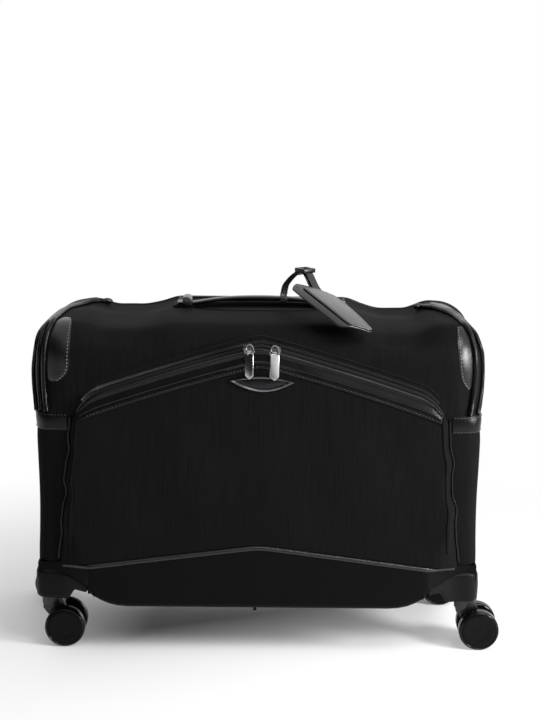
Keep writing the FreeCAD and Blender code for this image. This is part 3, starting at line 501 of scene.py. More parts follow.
cloth_rows = []
mouth_line = mouth_row()
start_arch = arch_row(HALF_LEFT - SIDE_ROLL, HALF_RIGHT - SIDE_ROLL, TOP - TOP_ROLL, FRONT_LEFT, FRONT_RIGHT)
for step in range(FRONT_ROWS):
    cloth_rows.append(at_depth(mouth_line + (start_arch - mouth_line) * (step / FRONT_ROWS), FACE, FACE))
for step in range(ROLL_ROWS):
    turn = np.pi / 2 * step / ROLL_ROWS
    tuck, back = 1 - np.sin(turn), 1 - np.cos(turn)
    growth = FRONT_GROWTH * step / ROLL_ROWS
    flat = arch_row(
        HALF_LEFT - SIDE_ROLL * tuck, HALF_RIGHT - SIDE_ROLL * tuck, TOP - TOP_ROLL * tuck,
        FRONT_LEFT + growth, FRONT_RIGHT + growth,
    )
    cloth_rows.append(at_depth(flat, FACE + SIDE_ROLL * back, FACE + TOP_ROLL * back))
for step in range(DEPTH_ROWS + 1):
    part = step / DEPTH_ROWS
    bends = [
        front + FRONT_GROWTH + (rear - front - FRONT_GROWTH) * part ** 1.2
        for front, rear in ((FRONT_LEFT, BACK_LEFT), (FRONT_RIGHT, BACK_RIGHT))
    ]
    depths = [FACE + roll + (BACK_SEAM - FACE - roll) * part for roll in (SIDE_ROLL, TOP_ROLL)]
    cloth_rows.append(at_depth(arch_row(HALF_LEFT, HALF_RIGHT, TOP, *bends), *depths))
for turn in (0.5, 1.0):
    tuck = 5 * (1 - math.cos(turn * math.pi / 2))
    flat = arch_row(HALF_LEFT - tuck, HALF_RIGHT - tuck, TOP - tuck, BACK_LEFT - tuck, BACK_RIGHT - tuck)
    cloth_rows.append(at_depth(flat, BACK_SEAM + 2.5 * turn, BACK_SEAM + 2.5 * turn))
body_cloth = sheet_grid("body_cloth", slacken(np.array(cloth_rows)) * MM, (0, 0.01, 0.25))

WELL_HALF, WELL_DEEP, WELL_Y, WELL_POWER = 0.09, 0.03, 0.0495, 2.6


def well_reach(x, y):
    # Below 1 inside the handle's opening, whose outline is a squared oval.
    return (np.abs(x) / WELL_HALF) ** WELL_POWER + (np.abs(y - WELL_Y) / WELL_DEEP) ** WELL_POWER


hood_level = 0.39
pick(body_cloth, "FACE", lambda middle, normal: middle.z > hood_level and (
    well_reach(middle.x, middle.y) < 0.97
    or (abs(middle.x) < 0.105 and 0.094 < middle.y < 0.112)
    or (0.0965 < abs(middle.x) < 0.1095 and 0.0405 < middle.y < 0.0655)
))
bpy.ops.mesh.delete(type="FACE")
leave_edit()
edge_places = spots(body_cloth)
near_well = (edge_places[:, 2] > hood_level) & (well_reach(edge_places[:, 0], edge_places[:, 1]) < 1)
reach = well_reach(edge_places[near_well, 0], edge_places[near_well, 1]) ** (-1 / WELL_POWER)
edge_places[near_well, 0] *= reach
edge_places[near_well, 1] = WELL_Y + (edge_places[near_well, 1] - WELL_Y) * reach
set_spots(body_cloth, edge_places)
cloth_skin = BVHTree.FromObject(body_cloth, bpy.context.evaluated_depsgraph_get())
foam_backed(body_cloth, 0.003, "case")
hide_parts("hood_wrap", "end_gusset_left", "end_gusset_right")


# Back cloth: the flat nylon back that the trolley lies against, foam-backed and a little
# crowned, turned over a frame at its edge and piped all round the seam.
def back_arch(inset, drop, bend, depth):
    # The line of the back seam, in mm, set in by a little all round.
    flat = arch_row(HALF_LEFT - inset, HALF_RIGHT - inset, TOP - drop, BACK_LEFT - bend, BACK_RIGHT - bend)
    return slacken(at_depth(flat, depth, depth))


back_half, back_face, back_crown, back_bend = 268.0, 119.8, 2.6, 14
back_rim = back_arch(4, 3.0, 3, BACK_SEAM)[SIDE_STEPS:-SIDE_STEPS]
back_rim = back_rim[np.argsort(back_rim[:, 0])]
back_places = []
for part in np.linspace(0, 1, 60):
    across = np.linspace(-1, 1, 121)
    roof = np.interp(across * back_half, back_rim[:, 0], back_rim[:, 2]) - CLOTH_FOOT
    edge = np.minimum((1 - np.abs(across)) * back_half / back_bend, (1 - part) * roof / back_bend)
    edge = np.minimum(edge, 1.0)
    y = back_face + back_crown * np.sqrt(np.clip(1 - (1 - edge) ** 2, 0, None))
    y = y + 0.6 * np.sin(across * 7 + 1) * np.sin(part * 6 + 0.5) * edge
    back_places.append(np.stack([across * back_half, np.minimum(y, 122.8), CLOTH_FOOT + roof * part], 1))
back_cloth = sheet_grid("back_cloth", np.array(back_places) * MM, (0, 0, 0.25))
foam_backed(back_cloth, 0.0025, "case")
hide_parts("back_panel")


# Leather trims on the body: piping that climbs the front edges and runs back over the end caps, two lower
# rolls beside it on the left and one on the right that cover a zip, and piping round the back seam.
def leather_paint(name, tone, rough, grain, depth, gleam):
    # Smooth black leather: small pebbled cells, finer creases and slightly uneven gloss.
    paint, tree, shader, where = start_paint(name)
    cells = add_node(tree, "TexVoronoi", {"Vector": where, "Scale": grain}, feature="DISTANCE_TO_EDGE")
    pebble = map_range(tree, cells.outputs["Distance"], 0, 0.25)
    height = math_node(tree, "MULTIPLY_ADD", noise(tree, where, grain * 0.35, 6), 0.6, pebble)
    patches = noise(tree, where, 45, 4)
    feed(tree, shader, {
        "Base Color": two_tone(tree, patches, tone, 0.7, 1.5, 0.25, 0.8),
        "Roughness": map_range(tree, patches, 0, 1, rough - 0.07, rough + 0.1),
        "Normal": bump(tree, height, 0.45, depth),
        "Specular IOR Level": gleam,
    })
    return paint


leather = leather_paint("trim_leather_black", (0.0026, 0.0026, 0.0028), 0.2, 900, 0.00012, 0.2)
patch_leather = leather_paint("patch_leather_polished", (0.0048, 0.0048, 0.005), 0.24, 900, 0.0001, 0.4)
tab_leather = leather_paint("tab_leather_polished", (0.006, 0.006, 0.0063), 0.26, 900, 0.0001, 0.7)


def run_along(points):
    # Distance along a line at each of its points.
    return np.concatenate([[0], np.cumsum(np.linalg.norm(np.diff(points, axis=0), axis=1))])


def places_at(at, run, points):
    return np.stack([np.interp(at, run, points[:, axis]) for axis in range(3)], 1)


def smooth_line(points, count):
    # Evenly spaced points along a smooth line through the given ones, in metres.
    points = np.array(points, float)
    run = run_along(points)
    slope = np.gradient(points, run, axis=0)
    fine = np.linspace(0, run[-1], max(count * 6, 60))
    place = np.clip(np.searchsorted(run, fine, side="right") - 1, 0, len(run) - 2)
    gap = (run[place + 1] - run[place])[:, None]
    t = (fine - run[place])[:, None] / gap
    line = (
        (2 * t ** 3 - 3 * t ** 2 + 1) * points[place] + (t ** 3 - 2 * t ** 2 + t) * gap * slope[place]
        + (3 * t ** 2 - 2 * t ** 3) * points[place + 1] + (t ** 3 - t ** 2) * gap * slope[place + 1]
    )
    run = run_along(line)
    return places_at(np.linspace(0, run[-1], count), run, line)


def sided_line(way, points, count):
    # A smooth line through points in mm, given for the right side and turned over for the left.
    return smooth_line([(way * x * MM, y * MM, z * MM) for x, y, z in points], count)


def on_cloth(points, skin, lift):
    # The nearest places on a skin, lifted off it, and the skin's normals there.
    seats, ways = [], []
    for point in points:
        place, normal = skin.find_nearest(Vector(point))[:2]
        seats.append(np.array(place + normal * lift))
        ways.append(np.array(normal))
    return np.array(seats), np.array(ways)


def tube(name, line, radius, sides=10):
    # A round tube swept along a line of points, closed at both ends.
    bpy.ops.object.select_all(action="DESELECT")
    bpy.ops.curve.primitive_nurbs_path_add()
    piece = bpy.context.object
    piece.name = name
    path = piece.data
    path.splines.clear()
    run = path.splines.new("POLY")
    run.points.add(len(line) - 1)
    for knot, spot in zip(run.points, line):
        knot.co = (*spot, 1)
    path.twist_mode = "MINIMUM"
    path.bevel_depth = radius
    path.bevel_resolution = sides // 2 - 2
    path.use_fill_caps = True
    bpy.ops.object.convert(target="MESH")
    return bpy.context.object


def add_ball(size, segments, rings, place=(0, 0, 0), turn=(0, 0, 0)):
    # An ellipsoid with the given half sizes, whose poles are turned first.
    bpy.ops.object.select_all(action="DESELECT")
    bpy.ops.mesh.primitive_uv_sphere_add(segments=segments, ring_count=rings, radius=1, rotation=turn)
    ball = bpy.context.object
    bpy.ops.object.transform_apply(rotation=True)
    ball.scale = size
    ball.location = place
    bpy.ops.object.transform_apply(location=True, scale=True)
    return ball


roll_lines = (
    ("front_roll_left_leather", -1, 0.0021, 0.0032, (
        (255.5, -96.5, 293), (257.5, -93.5, 303), (259.3, -90, 313), (260.3, -87.4, 324), (261, -86.7, 339),
        (261.1, -86.4, 354), (260.8, -85, 370), (259.3, -80.5, 385), (257.2, -75.3, 394), (253.9, -66.4, 402),
        (251, -43.5, 406), (248.5, -12, 406), (245, 20, 405), (239.5, 50, 404), (231.5, 76, 403),
        (220, 95, 403), (206, 106, 403),
    )),
    ("middle_roll_left_leather", -1, 0.0015, 0.0028, (
        (262, -92.5, 294), (264.5, -88, 304), (266.3, -84.5, 314), (267.3, -81.5, 323), (268.3, -80.5, 338),
        (268.4, -80, 352.5), (267.5, -80, 369), (265.7, -76, 384), (263.4, -69.7, 394), (260, -58, 402),
        (258.5, -35, 403), (256.5, -5, 402), (253, 27, 401), (247, 58, 400), (238.5, 84, 400),
        (226, 101, 402), (211, 110, 403),
    )),
    ("outer_roll_left_leather", -1, 0.0012, 0.0028, (
        (268.5, -86.5, 294), (271, -79, 304), (273.5, -74, 313), (274.7, -70.7, 323), (275.6, -69, 335),
        (275.7, -67.8, 350), (274, -68, 368), (271, -68, 382), (269, -60, 392), (266, -46, 398),
        (264.5, -25, 398), (262.5, 3, 397), (259, 35, 396), (253.5, 65, 395), (245, 91, 396),
        (232, 106, 399), (216, 113, 402),
    )),
    ("front_roll_right_leather", 1, 0.0022, 0.0035, (
        (253, -95, 293), (254, -93.8, 301), (255.8, -89, 315), (257.5, -86.5, 329), (258.5, -85.7, 344),
        (258.9, -85.2, 356), (258.3, -83.4, 371), (256.5, -78.8, 385), (253.3, -71.5, 395.5),
        (248.7, -61.5, 403), (244.5, -32, 406), (238, 8, 405.5), (229, 35, 405), (218, 59, 404),
        (207, 82, 403),
    )),
    ("outer_roll_right_leather", 1, 0.0014, 0.0030, (
        (262, -89, 294), (263.7, -87.5, 302), (266.5, -79, 312.5), (268.5, -71, 325), (269, -68, 340),
        (269, -67, 355), (267.5, -68, 368), (264.6, -69, 383), (260.6, -61, 395), (256, -46, 401),
        (251.5, -20, 404), (245.5, 15, 403.5), (237, 42, 403), (226, 65, 403), (214, 86, 402),
    )),
)
roll_foot = 0.2995
for name, way, lift, radius, points in roll_lines:
    path = sided_line(way, points, 100)
    seat = on_cloth(path[path[:, 2] > roll_foot], cloth_skin, lift)[0]
    piece = tube(name, smooth_line(seat[::2], 140), radius, 12)
    finish(piece, leather, "case", 60)
    if name.startswith("front"):
        side_name = name.split("_")[2]
        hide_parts("front_piping_" + side_name)
        tab = add_ball((0.0075, 0.0045, 0.0042), 20, 10, Vector(seat[-1]) - Vector((way * 0.003, 0, 0)))
        tab.name = "roll_end_%s_leather" % side_name
        finish(tab, tab_leather, "case", 60)

seam_line = smooth_line(back_arch(1.5, 1.0, 1, BACK_SEAM + 0.6) * MM, 260)
finish(tube("back_seam_piping", seam_line, 0.0026, 8), leather, "case", 60)


# Front pocket panel: one piece of the same nylon with an arched top edge, turned back at its
# sides, slack and fullest low down where it meets the base. It drops forward when unzipped.
def pocket_half(height, way, wave_part=1.0):
    # Half width of the panel, in mm, at a height; its sides are wavy where they pucker.
    climb = np.clip((height - 112.6) / (292 - 112.6), 0, 1)
    swell = np.sin(np.pi * np.clip((height - 130) / 165, 0, 1))
    left = 1.9 * np.sin(height * 0.115 + 0.6) + 0.8 * np.sin(height * 0.23 + 2.0)
    right = 2.1 * np.sin(height * 0.1 + 2.3) + 0.7 * np.sin(height * 0.21 + 0.4)
    return 245.0 - 16.5 * climb ** 0.85 + wave_part * swell * np.where(way < 0, left, right)


def base_edge(across):
    # Height of the peaked top of the base's front wall, in mm.
    return 113.0 + 32.0 * (1 - np.sqrt(across * across + 64) / 246.0)


def pocket_skin(across, height):
    # Depth of the pocket's front at a place, in mm: full below, flat where the zip runs.
    full = 9.6 + 15.6 * (1 - ease(160, 318, height))
    bend = 9 + 5 * (1 - ease(200, 300, height)) + 28 * (1 - ease(113, 165, height))
    inset = np.clip((pocket_half(height, np.sign(across)) - np.abs(across)) / bend, 0, 1)
    drop = np.clip((pocket_edge(across, 0) - height) / 4.0, 0, 1)
    turn = np.sqrt(np.clip(1 - (1 - inset) ** 2.3, 0, 1)) * np.sqrt(np.clip(1 - (1 - drop) ** 2, 0, 1))
    wave = 1.1 * np.sin(across * 0.028 + 0.8) * np.sin(height * 0.036 - 0.6)
    wave = wave + 0.7 * np.sin(across * 0.061 + height * 0.017)
    quiet = ease(125, 165, height) * (1 - ease(288, 312, height)) * inset
    return -97.5 - full * turn + (0.9 + wave) * quiet


# The panel's width hangs on the height and the height on the width, so each row is found in rounds.
pocket_reach, rounds = 229.0, 4
pocket_columns = np.concatenate([
    np.linspace(-1, -0.86, 22, endpoint=False), np.linspace(-0.86, 0.86, 97), np.linspace(0.86, 1, 23)[1:],
])
pocket_places = []
for part in np.concatenate([np.linspace(0, 0.94, 60, endpoint=False), np.linspace(0.94, 1, 14)]):
    x = pocket_columns * pocket_reach
    for again in range(rounds):
        z = base_edge(x) + (pocket_edge(x, 0) - base_edge(x)) * part
        x = pocket_columns * pocket_half(z, pocket_columns)
        x = np.where(np.abs(x) > 1e-6, x, 0)
    roof = pocket_edge(np.clip(x, -pocket_reach, pocket_reach), 0)
    z = base_edge(x) + (roof - base_edge(x)) * part
    pocket_places.append(np.stack([x, pocket_skin(x, z), z], 1))
pocket = sheet_grid("pocket_cloth", np.array(pocket_places) * MM, (0, 0.3, 0.25))
foam_backed(pocket, 0.0022, "front_panel")
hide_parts("front_pocket")


# Pocket trims: leather piping sewn into the pocket's puckered side seams, and a finer one of
# nylon along the front edge of its turned sides.
for side_name, way in (("left", -1), ("right", 1)):
    heights = np.linspace(118, 296, 60)
    reach = pocket_half(heights, np.full(60, way)) + 1.4
    path = np.stack([way * reach, np.full(60, -99.4), heights], 1) * MM
    piece = tube("pocket_piping_%s_leather" % side_name, path, 0.0019, 8)
    finish(piece, leather, "front_panel", 60)
    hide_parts("pocket_piping_" + side_name)
    heights = np.linspace(134, 300, 60)
    reach = pocket_half(heights, np.full(60, way), 0.6) - 7.5 - 5 * (1 - ease(120, 230, heights))
    path = np.stack([way * reach, pocket_skin(way * reach, heights) - 0.2, heights], 1) * MM
    piece = tube("pocket_edge_%s_leather" % side_name, path, 0.0013, 8)
    finish(piece, nylon, "front_panel", 60)


# Zip along the pocket's arched top: a woven tape on each side, moulded teeth that mesh in the
# middle, and a folded nylon welt above it on the hood.
def ribbon(name, columns, low, high, depth, rows, lift, thickness):
    # A thin strip between two edges given at each column, in mm.
    places = []
    for part in np.linspace(0, 1, rows):
        z = low + (high - low) * part
        places.append(np.stack([columns, depth(columns, z) - lift, z], 1))
    strip = sheet_grid(name, np.array(places) * MM, (0, 0.3, 0.3))
    walled(strip, thickness)
    return strip


zip_black = woven_paint("zip_tape_black", (0.006, 0.006, 0.0064), 0.7, 0.55, 0.1)
zip_columns = np.linspace(-222, 222, 181)
zip_low, zip_high = pocket_edge(zip_columns, 5.2), pocket_edge(zip_columns, -5.8)
tape = ribbon("pocket_zip_tape_woven", zip_columns, zip_low, zip_high, pocket_skin, 13, 0.5, 0.0005)
finish(tape, zip_black, "front_panel", 60)
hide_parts("pocket_zip_tape")

hood_columns = np.linspace(-216, 216, 151)
hood_tape = ribbon(
    "hood_zip_tape_woven", hood_columns, pocket_edge(hood_columns, -6.1), pocket_edge(hood_columns, -9.8),
    lambda x, z: np.full(len(x), -96.6), 5, 0.9, 0.0006,
)
finish(hood_tape, zip_black, "case", 60)
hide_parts("hood_zip_tape")
welt_depth = -97.3 + 0.9 * ease(20, -50, hood_columns)
welt_line = np.stack([hood_columns, welt_depth, pocket_edge(hood_columns, -10.4)], 1) * MM
finish(tube("hood_welt", welt_line, 0.0010, 8), zip_black, "case", 60)


def row_along(name, unit, line, ways, pitch):
    # Copies one small unit, modelled along X with Z up, at even steps along a line.
    apart = np.array([0.1, 0, 0])
    run = run_along(line)
    count = int(run[-1] / pitch)
    step = unit.modifiers.new("repeat", "ARRAY")
    step.use_relative_offset = False
    step.use_constant_offset = True
    step.constant_offset_displace = apart
    step.count = count
    settle(unit)
    unit.name = name
    places = spots(unit).reshape(count, -1, 3) - np.arange(count)[:, None, None] * apart
    at = (np.arange(count) + 0.5) * run[-1] / count
    along = places_at(at + 0.0006, run, line) - places_at(at - 0.0006, run, line)
    along /= np.linalg.norm(along, axis=1)[:, None]
    across = np.cross(places_at(at, run, ways), along)
    across /= np.linalg.norm(across, axis=1)[:, None]
    turned = places @ np.stack([along, across, np.cross(along, across)], 1)
    turned = turned + places_at(at, run, line)[:, None]
    set_spots(unit, np.ascontiguousarray(turned.reshape(-1, 3)))
    return unit


def block(size, place=(0, 0, 0)):
    bpy.ops.object.select_all(action="DESELECT")
    bpy.ops.mesh.primitive_cube_add(size=1)
    solid = bpy.context.object
    solid.scale = size
    solid.location = place
    bpy.ops.object.transform_apply(location=True, scale=True)
    return solid


tooth_paint = moulded_paint("zip_teeth_black", (0.022, 0.022, 0.0225), 0.2, 3000, 0.00003)
tooth = block((0.0013, 0.0036, 0.0012))
bevel_edges(tooth, 0.00035, 1, lambda a, b: a.z > 0 and b.z > 0)
tooth_x = np.linspace(-216, 216, 300)
tooth_z = pocket_edge(tooth_x, -3.4)
tooth_line = np.stack([tooth_x, pocket_skin(tooth_x, tooth_z) - 1.0, tooth_z], 1) * MM
teeth = row_along("pocket_zip_teeth", tooth, tooth_line, np.tile([0, -1.0, 0], (300, 1)), 0.0025)
finish(teeth, tooth_paint, "front_panel", 30)
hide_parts("pocket_zip_coil")


# Leather band below the zip: a strip of black leather that follows the arch and runs out to
# points at the corners. A corded roll edges it under the zip, a second one divides it, and it
# is sewn down along its lower edge.
def half_round(part, middle, half):
    # Height, from 0 to 1, of a half-round roll across the band.
    return math.sqrt(max(0.0, 1 - ((part - middle) / half) ** 2))


band_columns = np.linspace(-219.5, 219.5, 181)
band_high = pocket_edge(band_columns, 3.0)
band_low = np.minimum(pocket_edge(band_columns, 0) + corner_fall(band_columns) - 27.5, band_high - 1.0)
band_leather = leather_paint("band_leather_polished", (0.0024, 0.0024, 0.0026), 0.19, 900, 0.0001, 0.32)
band_swell = 0.9 * ease(32, 80, np.abs(band_columns))
divide, hem_start = 0.62, 0.66
band_rows = []
for part in np.linspace(0, 1, 37):
    level = band_high + (band_low - band_high) * part
    first_roll = 2.4 * half_round(part, 0.10, 0.10)
    second_roll = (2.0 + band_swell) * half_round(part, divide, 0.06)
    hem = 0.5
    if part > hem_start:
        hem = (0.4 + 4.3 * (part - hem_start)) * math.sqrt(max(0.0, min(1.0, (1 - part) / 0.06)))
    slope = (2.2 + band_swell) * (min(1.0, max(0.0, (part - 0.2) / 0.38)) if part < divide else 0.0)
    proud = 0.3 + np.maximum(np.maximum(second_roll, slope), max(first_roll, hem))
    band_rows.append(np.stack([band_columns, pocket_skin(band_columns, level) - proud, level], 1))
band = sheet_grid("pocket_band_leather", np.array(band_rows) * MM, (0, 0.3, 0.3))
walled(band, 0.0007)
finish(band, band_leather, "front_panel", 60)
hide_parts("pocket_band")

thread_paint = moulded_paint("stitch_thread", (0.15, 0.15, 0.153), 0.38, 4000, 0.00003)
band_thread = moulded_paint("band_thread", (0.036, 0.036, 0.037), 0.38, 4000, 0.00003)


def sew(name, line, ways, body, thread=thread_paint, pitch=0.0040, long=0.0025, thick=0.0010):
    # A row of stitches, each a short thread that is pinched at both ends.
    stitch = add_ball((long / 2, thick / 2, thick / 2.4), 6, 4, turn=(0, math.pi / 2, 0))
    finish(row_along(name, stitch, line, ways, pitch), thread, body, 60)


sewn_columns = np.abs(band_columns) < 211
level = band_high + (band_low - band_high) * 0.87
line = np.stack([band_columns, pocket_skin(band_columns, level) - 1.7, level], 1)[sewn_columns] * MM
sew("band_stitches", line, np.tile([0, -1.0, 0], (len(line), 1)), "front_panel", band_thread)


# Side bands: leather straps that wrap each front edge below the end caps and run back along the
# sides, stitched along both edges.
strap_plan = [(x, -97.0) for x in np.linspace(234, 252, 10)]
strap_plan += [
    (252 + 20 * math.sin(turn), -77 - 20 * math.cos(turn)) for turn in np.linspace(0, np.pi / 2, 16)[1:]
]
strap_plan += [(272.0, y) for y in np.linspace(-73, 63, 50)]


def crowned(part):
    # Height, from 0 to 1, of a strip that is fullest along its middle.
    return max(0.0, math.sin(math.pi * part)) ** 0.5


def strap_row(way, level, lift):
    # One line round the strap at a level in mm, seated on the cloth.
    raw = [(way * x * MM, y * MM, level * MM) for x, y in strap_plan]
    seat = on_cloth(raw, cloth_skin, lift)[0]
    seat[:, 2] = level * MM
    return seat


for side_name, way in (("left", -1), ("right", 1)):
    strap = sheet_grid("side_band_%s_leather" % side_name, np.array([
        strap_row(way, 279.5 + 21 * part, 0.0003 + 0.0013 * crowned(part)) for part in np.linspace(0, 1, 9)
    ]), (0, 0, 0.285))
    walled(strap, 0.0008)
    finish(strap, leather, "case", 60)
    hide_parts("side_band_" + side_name)
    for name, level in (("upper", 298.6), ("lower", 281.4)):
        line = strap_row(way, level, 0.0016)
        ways = on_cloth(line, cloth_skin, 0)[1]
        sew("side_stitches_%s_%s" % (side_name, name), line, ways, "case", band_thread)


# Corner patches: leather shields sewn over the hood's upper corners beside the piping, carried
# over the front edge onto the top, and a wing of the same leather over the right end cap.
def laid_leather(name, first_edge, second_edge, way, rows, columns, rise):
    # A leather panel laid on the cloth between two edges, thickest along its middle.
    part = np.linspace(0, 1, columns)[:, None]
    swell = np.clip(np.sin(np.pi * np.clip(part, 0.03, 0.97)), 0, 1) ** 0.4
    edges = zip(sided_line(way, first_edge, rows), sided_line(way, second_edge, rows))
    places, ways = [], []
    for step, (start, end) in enumerate(edges):
        seat, normals = on_cloth(start + (end - start) * part, cloth_skin, 0.0)
        places.append(seat + normals * (0.0003 + rise * swell * min(1.0, step / 3)))
        ways.append(normals)
    places, ways = np.array(places), np.array(ways)
    panel = sheet_grid(name, places, (0, 0.05, 0.3))
    walled(panel, 0.0008)
    finish(panel, patch_leather, "case", 60)
    return panel, places, ways


patch_edges = (
    ("left", -1, (
        (245.5, -94.6, 339.8), (239, -95.8, 344), (234, -96, 349), (231, -96, 356), (229.8, -95.3, 368),
        (229.5, -90.4, 383.5), (229.7, -82.4, 394), (230, -72.7, 401), (231, -62, 405), (234, -44, 407),
    ), (
        (253, -91.6, 339), (257, -89.4, 342), (258, -88.5, 347), (259.3, -87.6, 354), (260, -86, 366),
        (259, -82.6, 381.5), (256.4, -76.8, 393), (252.8, -70.3, 400), (249, -60, 405), (243, -42, 407),
    )),
    ("right", 1, (
        (252, -90, 333), (247.4, -92.5, 338), (243.4, -94, 344.5), (241, -94.8, 353), (239, -94.4, 368),
        (238, -90.7, 382), (237.5, -84.2, 393), (237.5, -76.4, 400), (238.5, -68, 404.6),
    ), (
        (256, -87.6, 332.6), (258, -86.2, 336.6), (259, -85.3, 342.7), (259.3, -84.9, 351), (259, -84, 366),
        (257.7, -80.4, 380), (255.6, -74.3, 391), (252.4, -68, 398.5), (246, -60.6, 404.5),
    )),
)
for side_name, way, inner_edge, outer_edge in patch_edges:
    patch_name = "corner_patch_%s_leather" % side_name
    patch, places, ways = laid_leather(patch_name, inner_edge, outer_edge, way, 48, 11, 0.0012)
    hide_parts("corner_patch_" + side_name)
    line = places[:, 1] + ways[:, 1] * 0.0006
    sew("patch_stitches_" + side_name, line, ways[:, 1], "case", thread_paint, 0.0042, 0.0027, 0.0013)
laid_leather("end_wing_right_leather", (
    (265, -69, 383), (260.6, -61, 395), (256, -46, 401), (251.5, -20, 404), (245.5, 15, 404), (237, 42, 403),
    (226, 65, 403), (214, 86, 403),
), (
    (271, -40, 375), (270, -15, 385), (268, 10, 390), (265, 35, 393), (260, 60, 396), (252, 82, 400),
    (240, 100, 402), (225, 110, 403),
), 1, 40, 9, 0.0010)


# Base trim: a bound edge of pebbled leather along the peak of the base's front wall. It follows
# the wall back where its ends turn toward the corners.
trim_x = np.linspace(-240, 240, 181)
trim_y = -124 + 0.66 * np.clip(np.abs(trim_x) - 205, 0, None)
trim_rows = []
for part in np.linspace(0, 1, 8):
    raw = np.stack([trim_x, trim_y, base_edge(trim_x) - 1.2 - 5.6 * part], 1) * MM
    trim_rows.append(on_cloth(raw, base_skin, 0.0003 + 0.0017 * crowned(part))[0])
trim = sheet_grid("base_trim_leather", np.array(trim_rows), (0, 0.3, 0.3))
walled(trim, 0.0006)
pebbled_leather = leather_paint("edge_leather_pebbled", (0.0036, 0.0036, 0.0038), 0.2, 620, 0.0003, 0.48)
finish(trim, pebbled_leather, "case", 60)
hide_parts("base_trim")


# Badge: a pointed, drooping leaf of cast metal with a raised bright rim round a sunk dark plate,
# left bare, pinned through the pocket below the zip's peak.
def metal_paint(name, tone, rough, spread):
    # Plated metal: faint cloudy tarnish and very fine polishing marks in its gloss.
    paint, tree, shader, where = start_paint(name)
    marks = add_node(tree, "Mapping", {"Vector": where, "Scale": (2600, 2600, 90)}).outputs["Vector"]
    polish = noise(tree, marks, 1.0, 2)
    feed(tree, shader, {
        "Base Color": two_tone(tree, noise(tree, where, 190, 4), tone, 0.82, 1.12),
        "Roughness": map_range(tree, polish, 0, 1, rough, rough + spread),
        "Normal": bump(tree, polish, 0.15, 0.00004),
        "Metallic": 1.0,
    })
    return paint


def loft(name, rings, caps=True):
    # A closed skin through rings of points; the last point of a ring meets the first.
    rings = np.array(rings, float)
    skin = sheet_grid(name, np.concatenate([rings, rings[:, :1]], 1))
    open_all(skin)
    bpy.ops.mesh.remove_doubles(threshold=0.000002)
    leave_edit()
    if caps:
        pick(skin, "EDGE", lambda a, b: False)
        bpy.ops.mesh.select_non_manifold(extend=False)
        bpy.ops.mesh.edge_face_add()
        leave_edit()
    open_all(skin)
    face_out()
    return skin


def leaf_ring(shrink, depth):
    # The leaf's outline at a depth, drawn in all round, in mm.
    along = np.linspace(-1, 1, 41)
    long, middle = 40.0 - 2.6 * shrink, 344.4
    upper = np.stack([long * along, middle + (6.6 - shrink) * (1 - along ** 2) ** 1.25], 1)
    lower = np.stack([-long * along, middle - (12.6 - shrink) * (1 - along ** 2) ** 1.15], 1)
    line = np.concatenate([upper[:-1], lower[:-1]])
    return np.column_stack([line[:, 0] + 2.4, np.full(len(line), depth), line[:, 1] - 0.02 * line[:, 0]]) * MM


rim_metal = metal_paint("badge_rim_metal", (0.17, 0.17, 0.175), 0.26, 0.14)
gunmetal = metal_paint("gunmetal_dark", (0.028, 0.028, 0.03), 0.24, 0.2)
rim = loft("badge_rim_cast", [leaf_ring(shrink, depth) for shrink, depth in (
    (0, -106.6), (0, -108.9), (0.5, -109.8), (1.6, -110.0), (2.5, -109.5), (3.0, -108.3), (3.0, -106.6),
)], caps=False)
finish(rim, rim_metal, "front_panel", 35)
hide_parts("badge_rim")
plate = loft("badge_plate_sunk", [leaf_ring(shrink, depth) for shrink, depth in (
    (2.8, -106.6), (2.8, -108.2), (3.6, -108.7), (4.6, -109.0),
)])
finish(plate, gunmetal, "front_panel", 35)
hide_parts("badge_plate")


# Zip sliders and pulls: two cast metal sliders on the teeth, each with a bridge that carries a
# heavy faceted pull with a pointed end.
def rounded(piece, width, steps, angle=30):
    # Rounds a piece's edges where they are sharper than an angle, in degrees.
    rounding = piece.modifiers.new("edges", "BEVEL")
    rounding.width = width
    rounding.segments = steps
    rounding.limit_method = "ANGLE"
    rounding.angle_limit = math.radians(angle)
    settle(piece)


def extruded(name, points, back, front, edge, steps=2):
    # A plate with the given outline in the XZ plane, in mm, with bevelled edges.
    solid = outline_plate(name, [(x * MM, back * MM, z * MM) for x, z in points])
    open_all(solid)
    bpy.ops.mesh.extrude_region_move(TRANSFORM_OT_translate={"value": (0, (front - back) * MM, 0)})
    face_out()
    rounded(solid, edge * MM, steps, 25)
    return solid


def joined(name, pieces):
    bpy.ops.object.select_all(action="DESELECT")
    for piece in pieces:
        piece.select_set(True)
    bpy.context.view_layer.objects.active = pieces[0]
    bpy.ops.object.join()
    whole = bpy.context.object
    whole.name = name
    return whole


def square_line(x0, x1, z0, z1):
    return [(x0, z0), (x1, z0), (x1, z1), (x0, z1)]


def cross_bar(name, middle, level, half, radius, sides):
    # A round bar across a slider, at the place of its pin.
    return tube(name, np.array([(middle + x, pin_depth, level) for x in (-half, half)]) * MM, radius, sides)


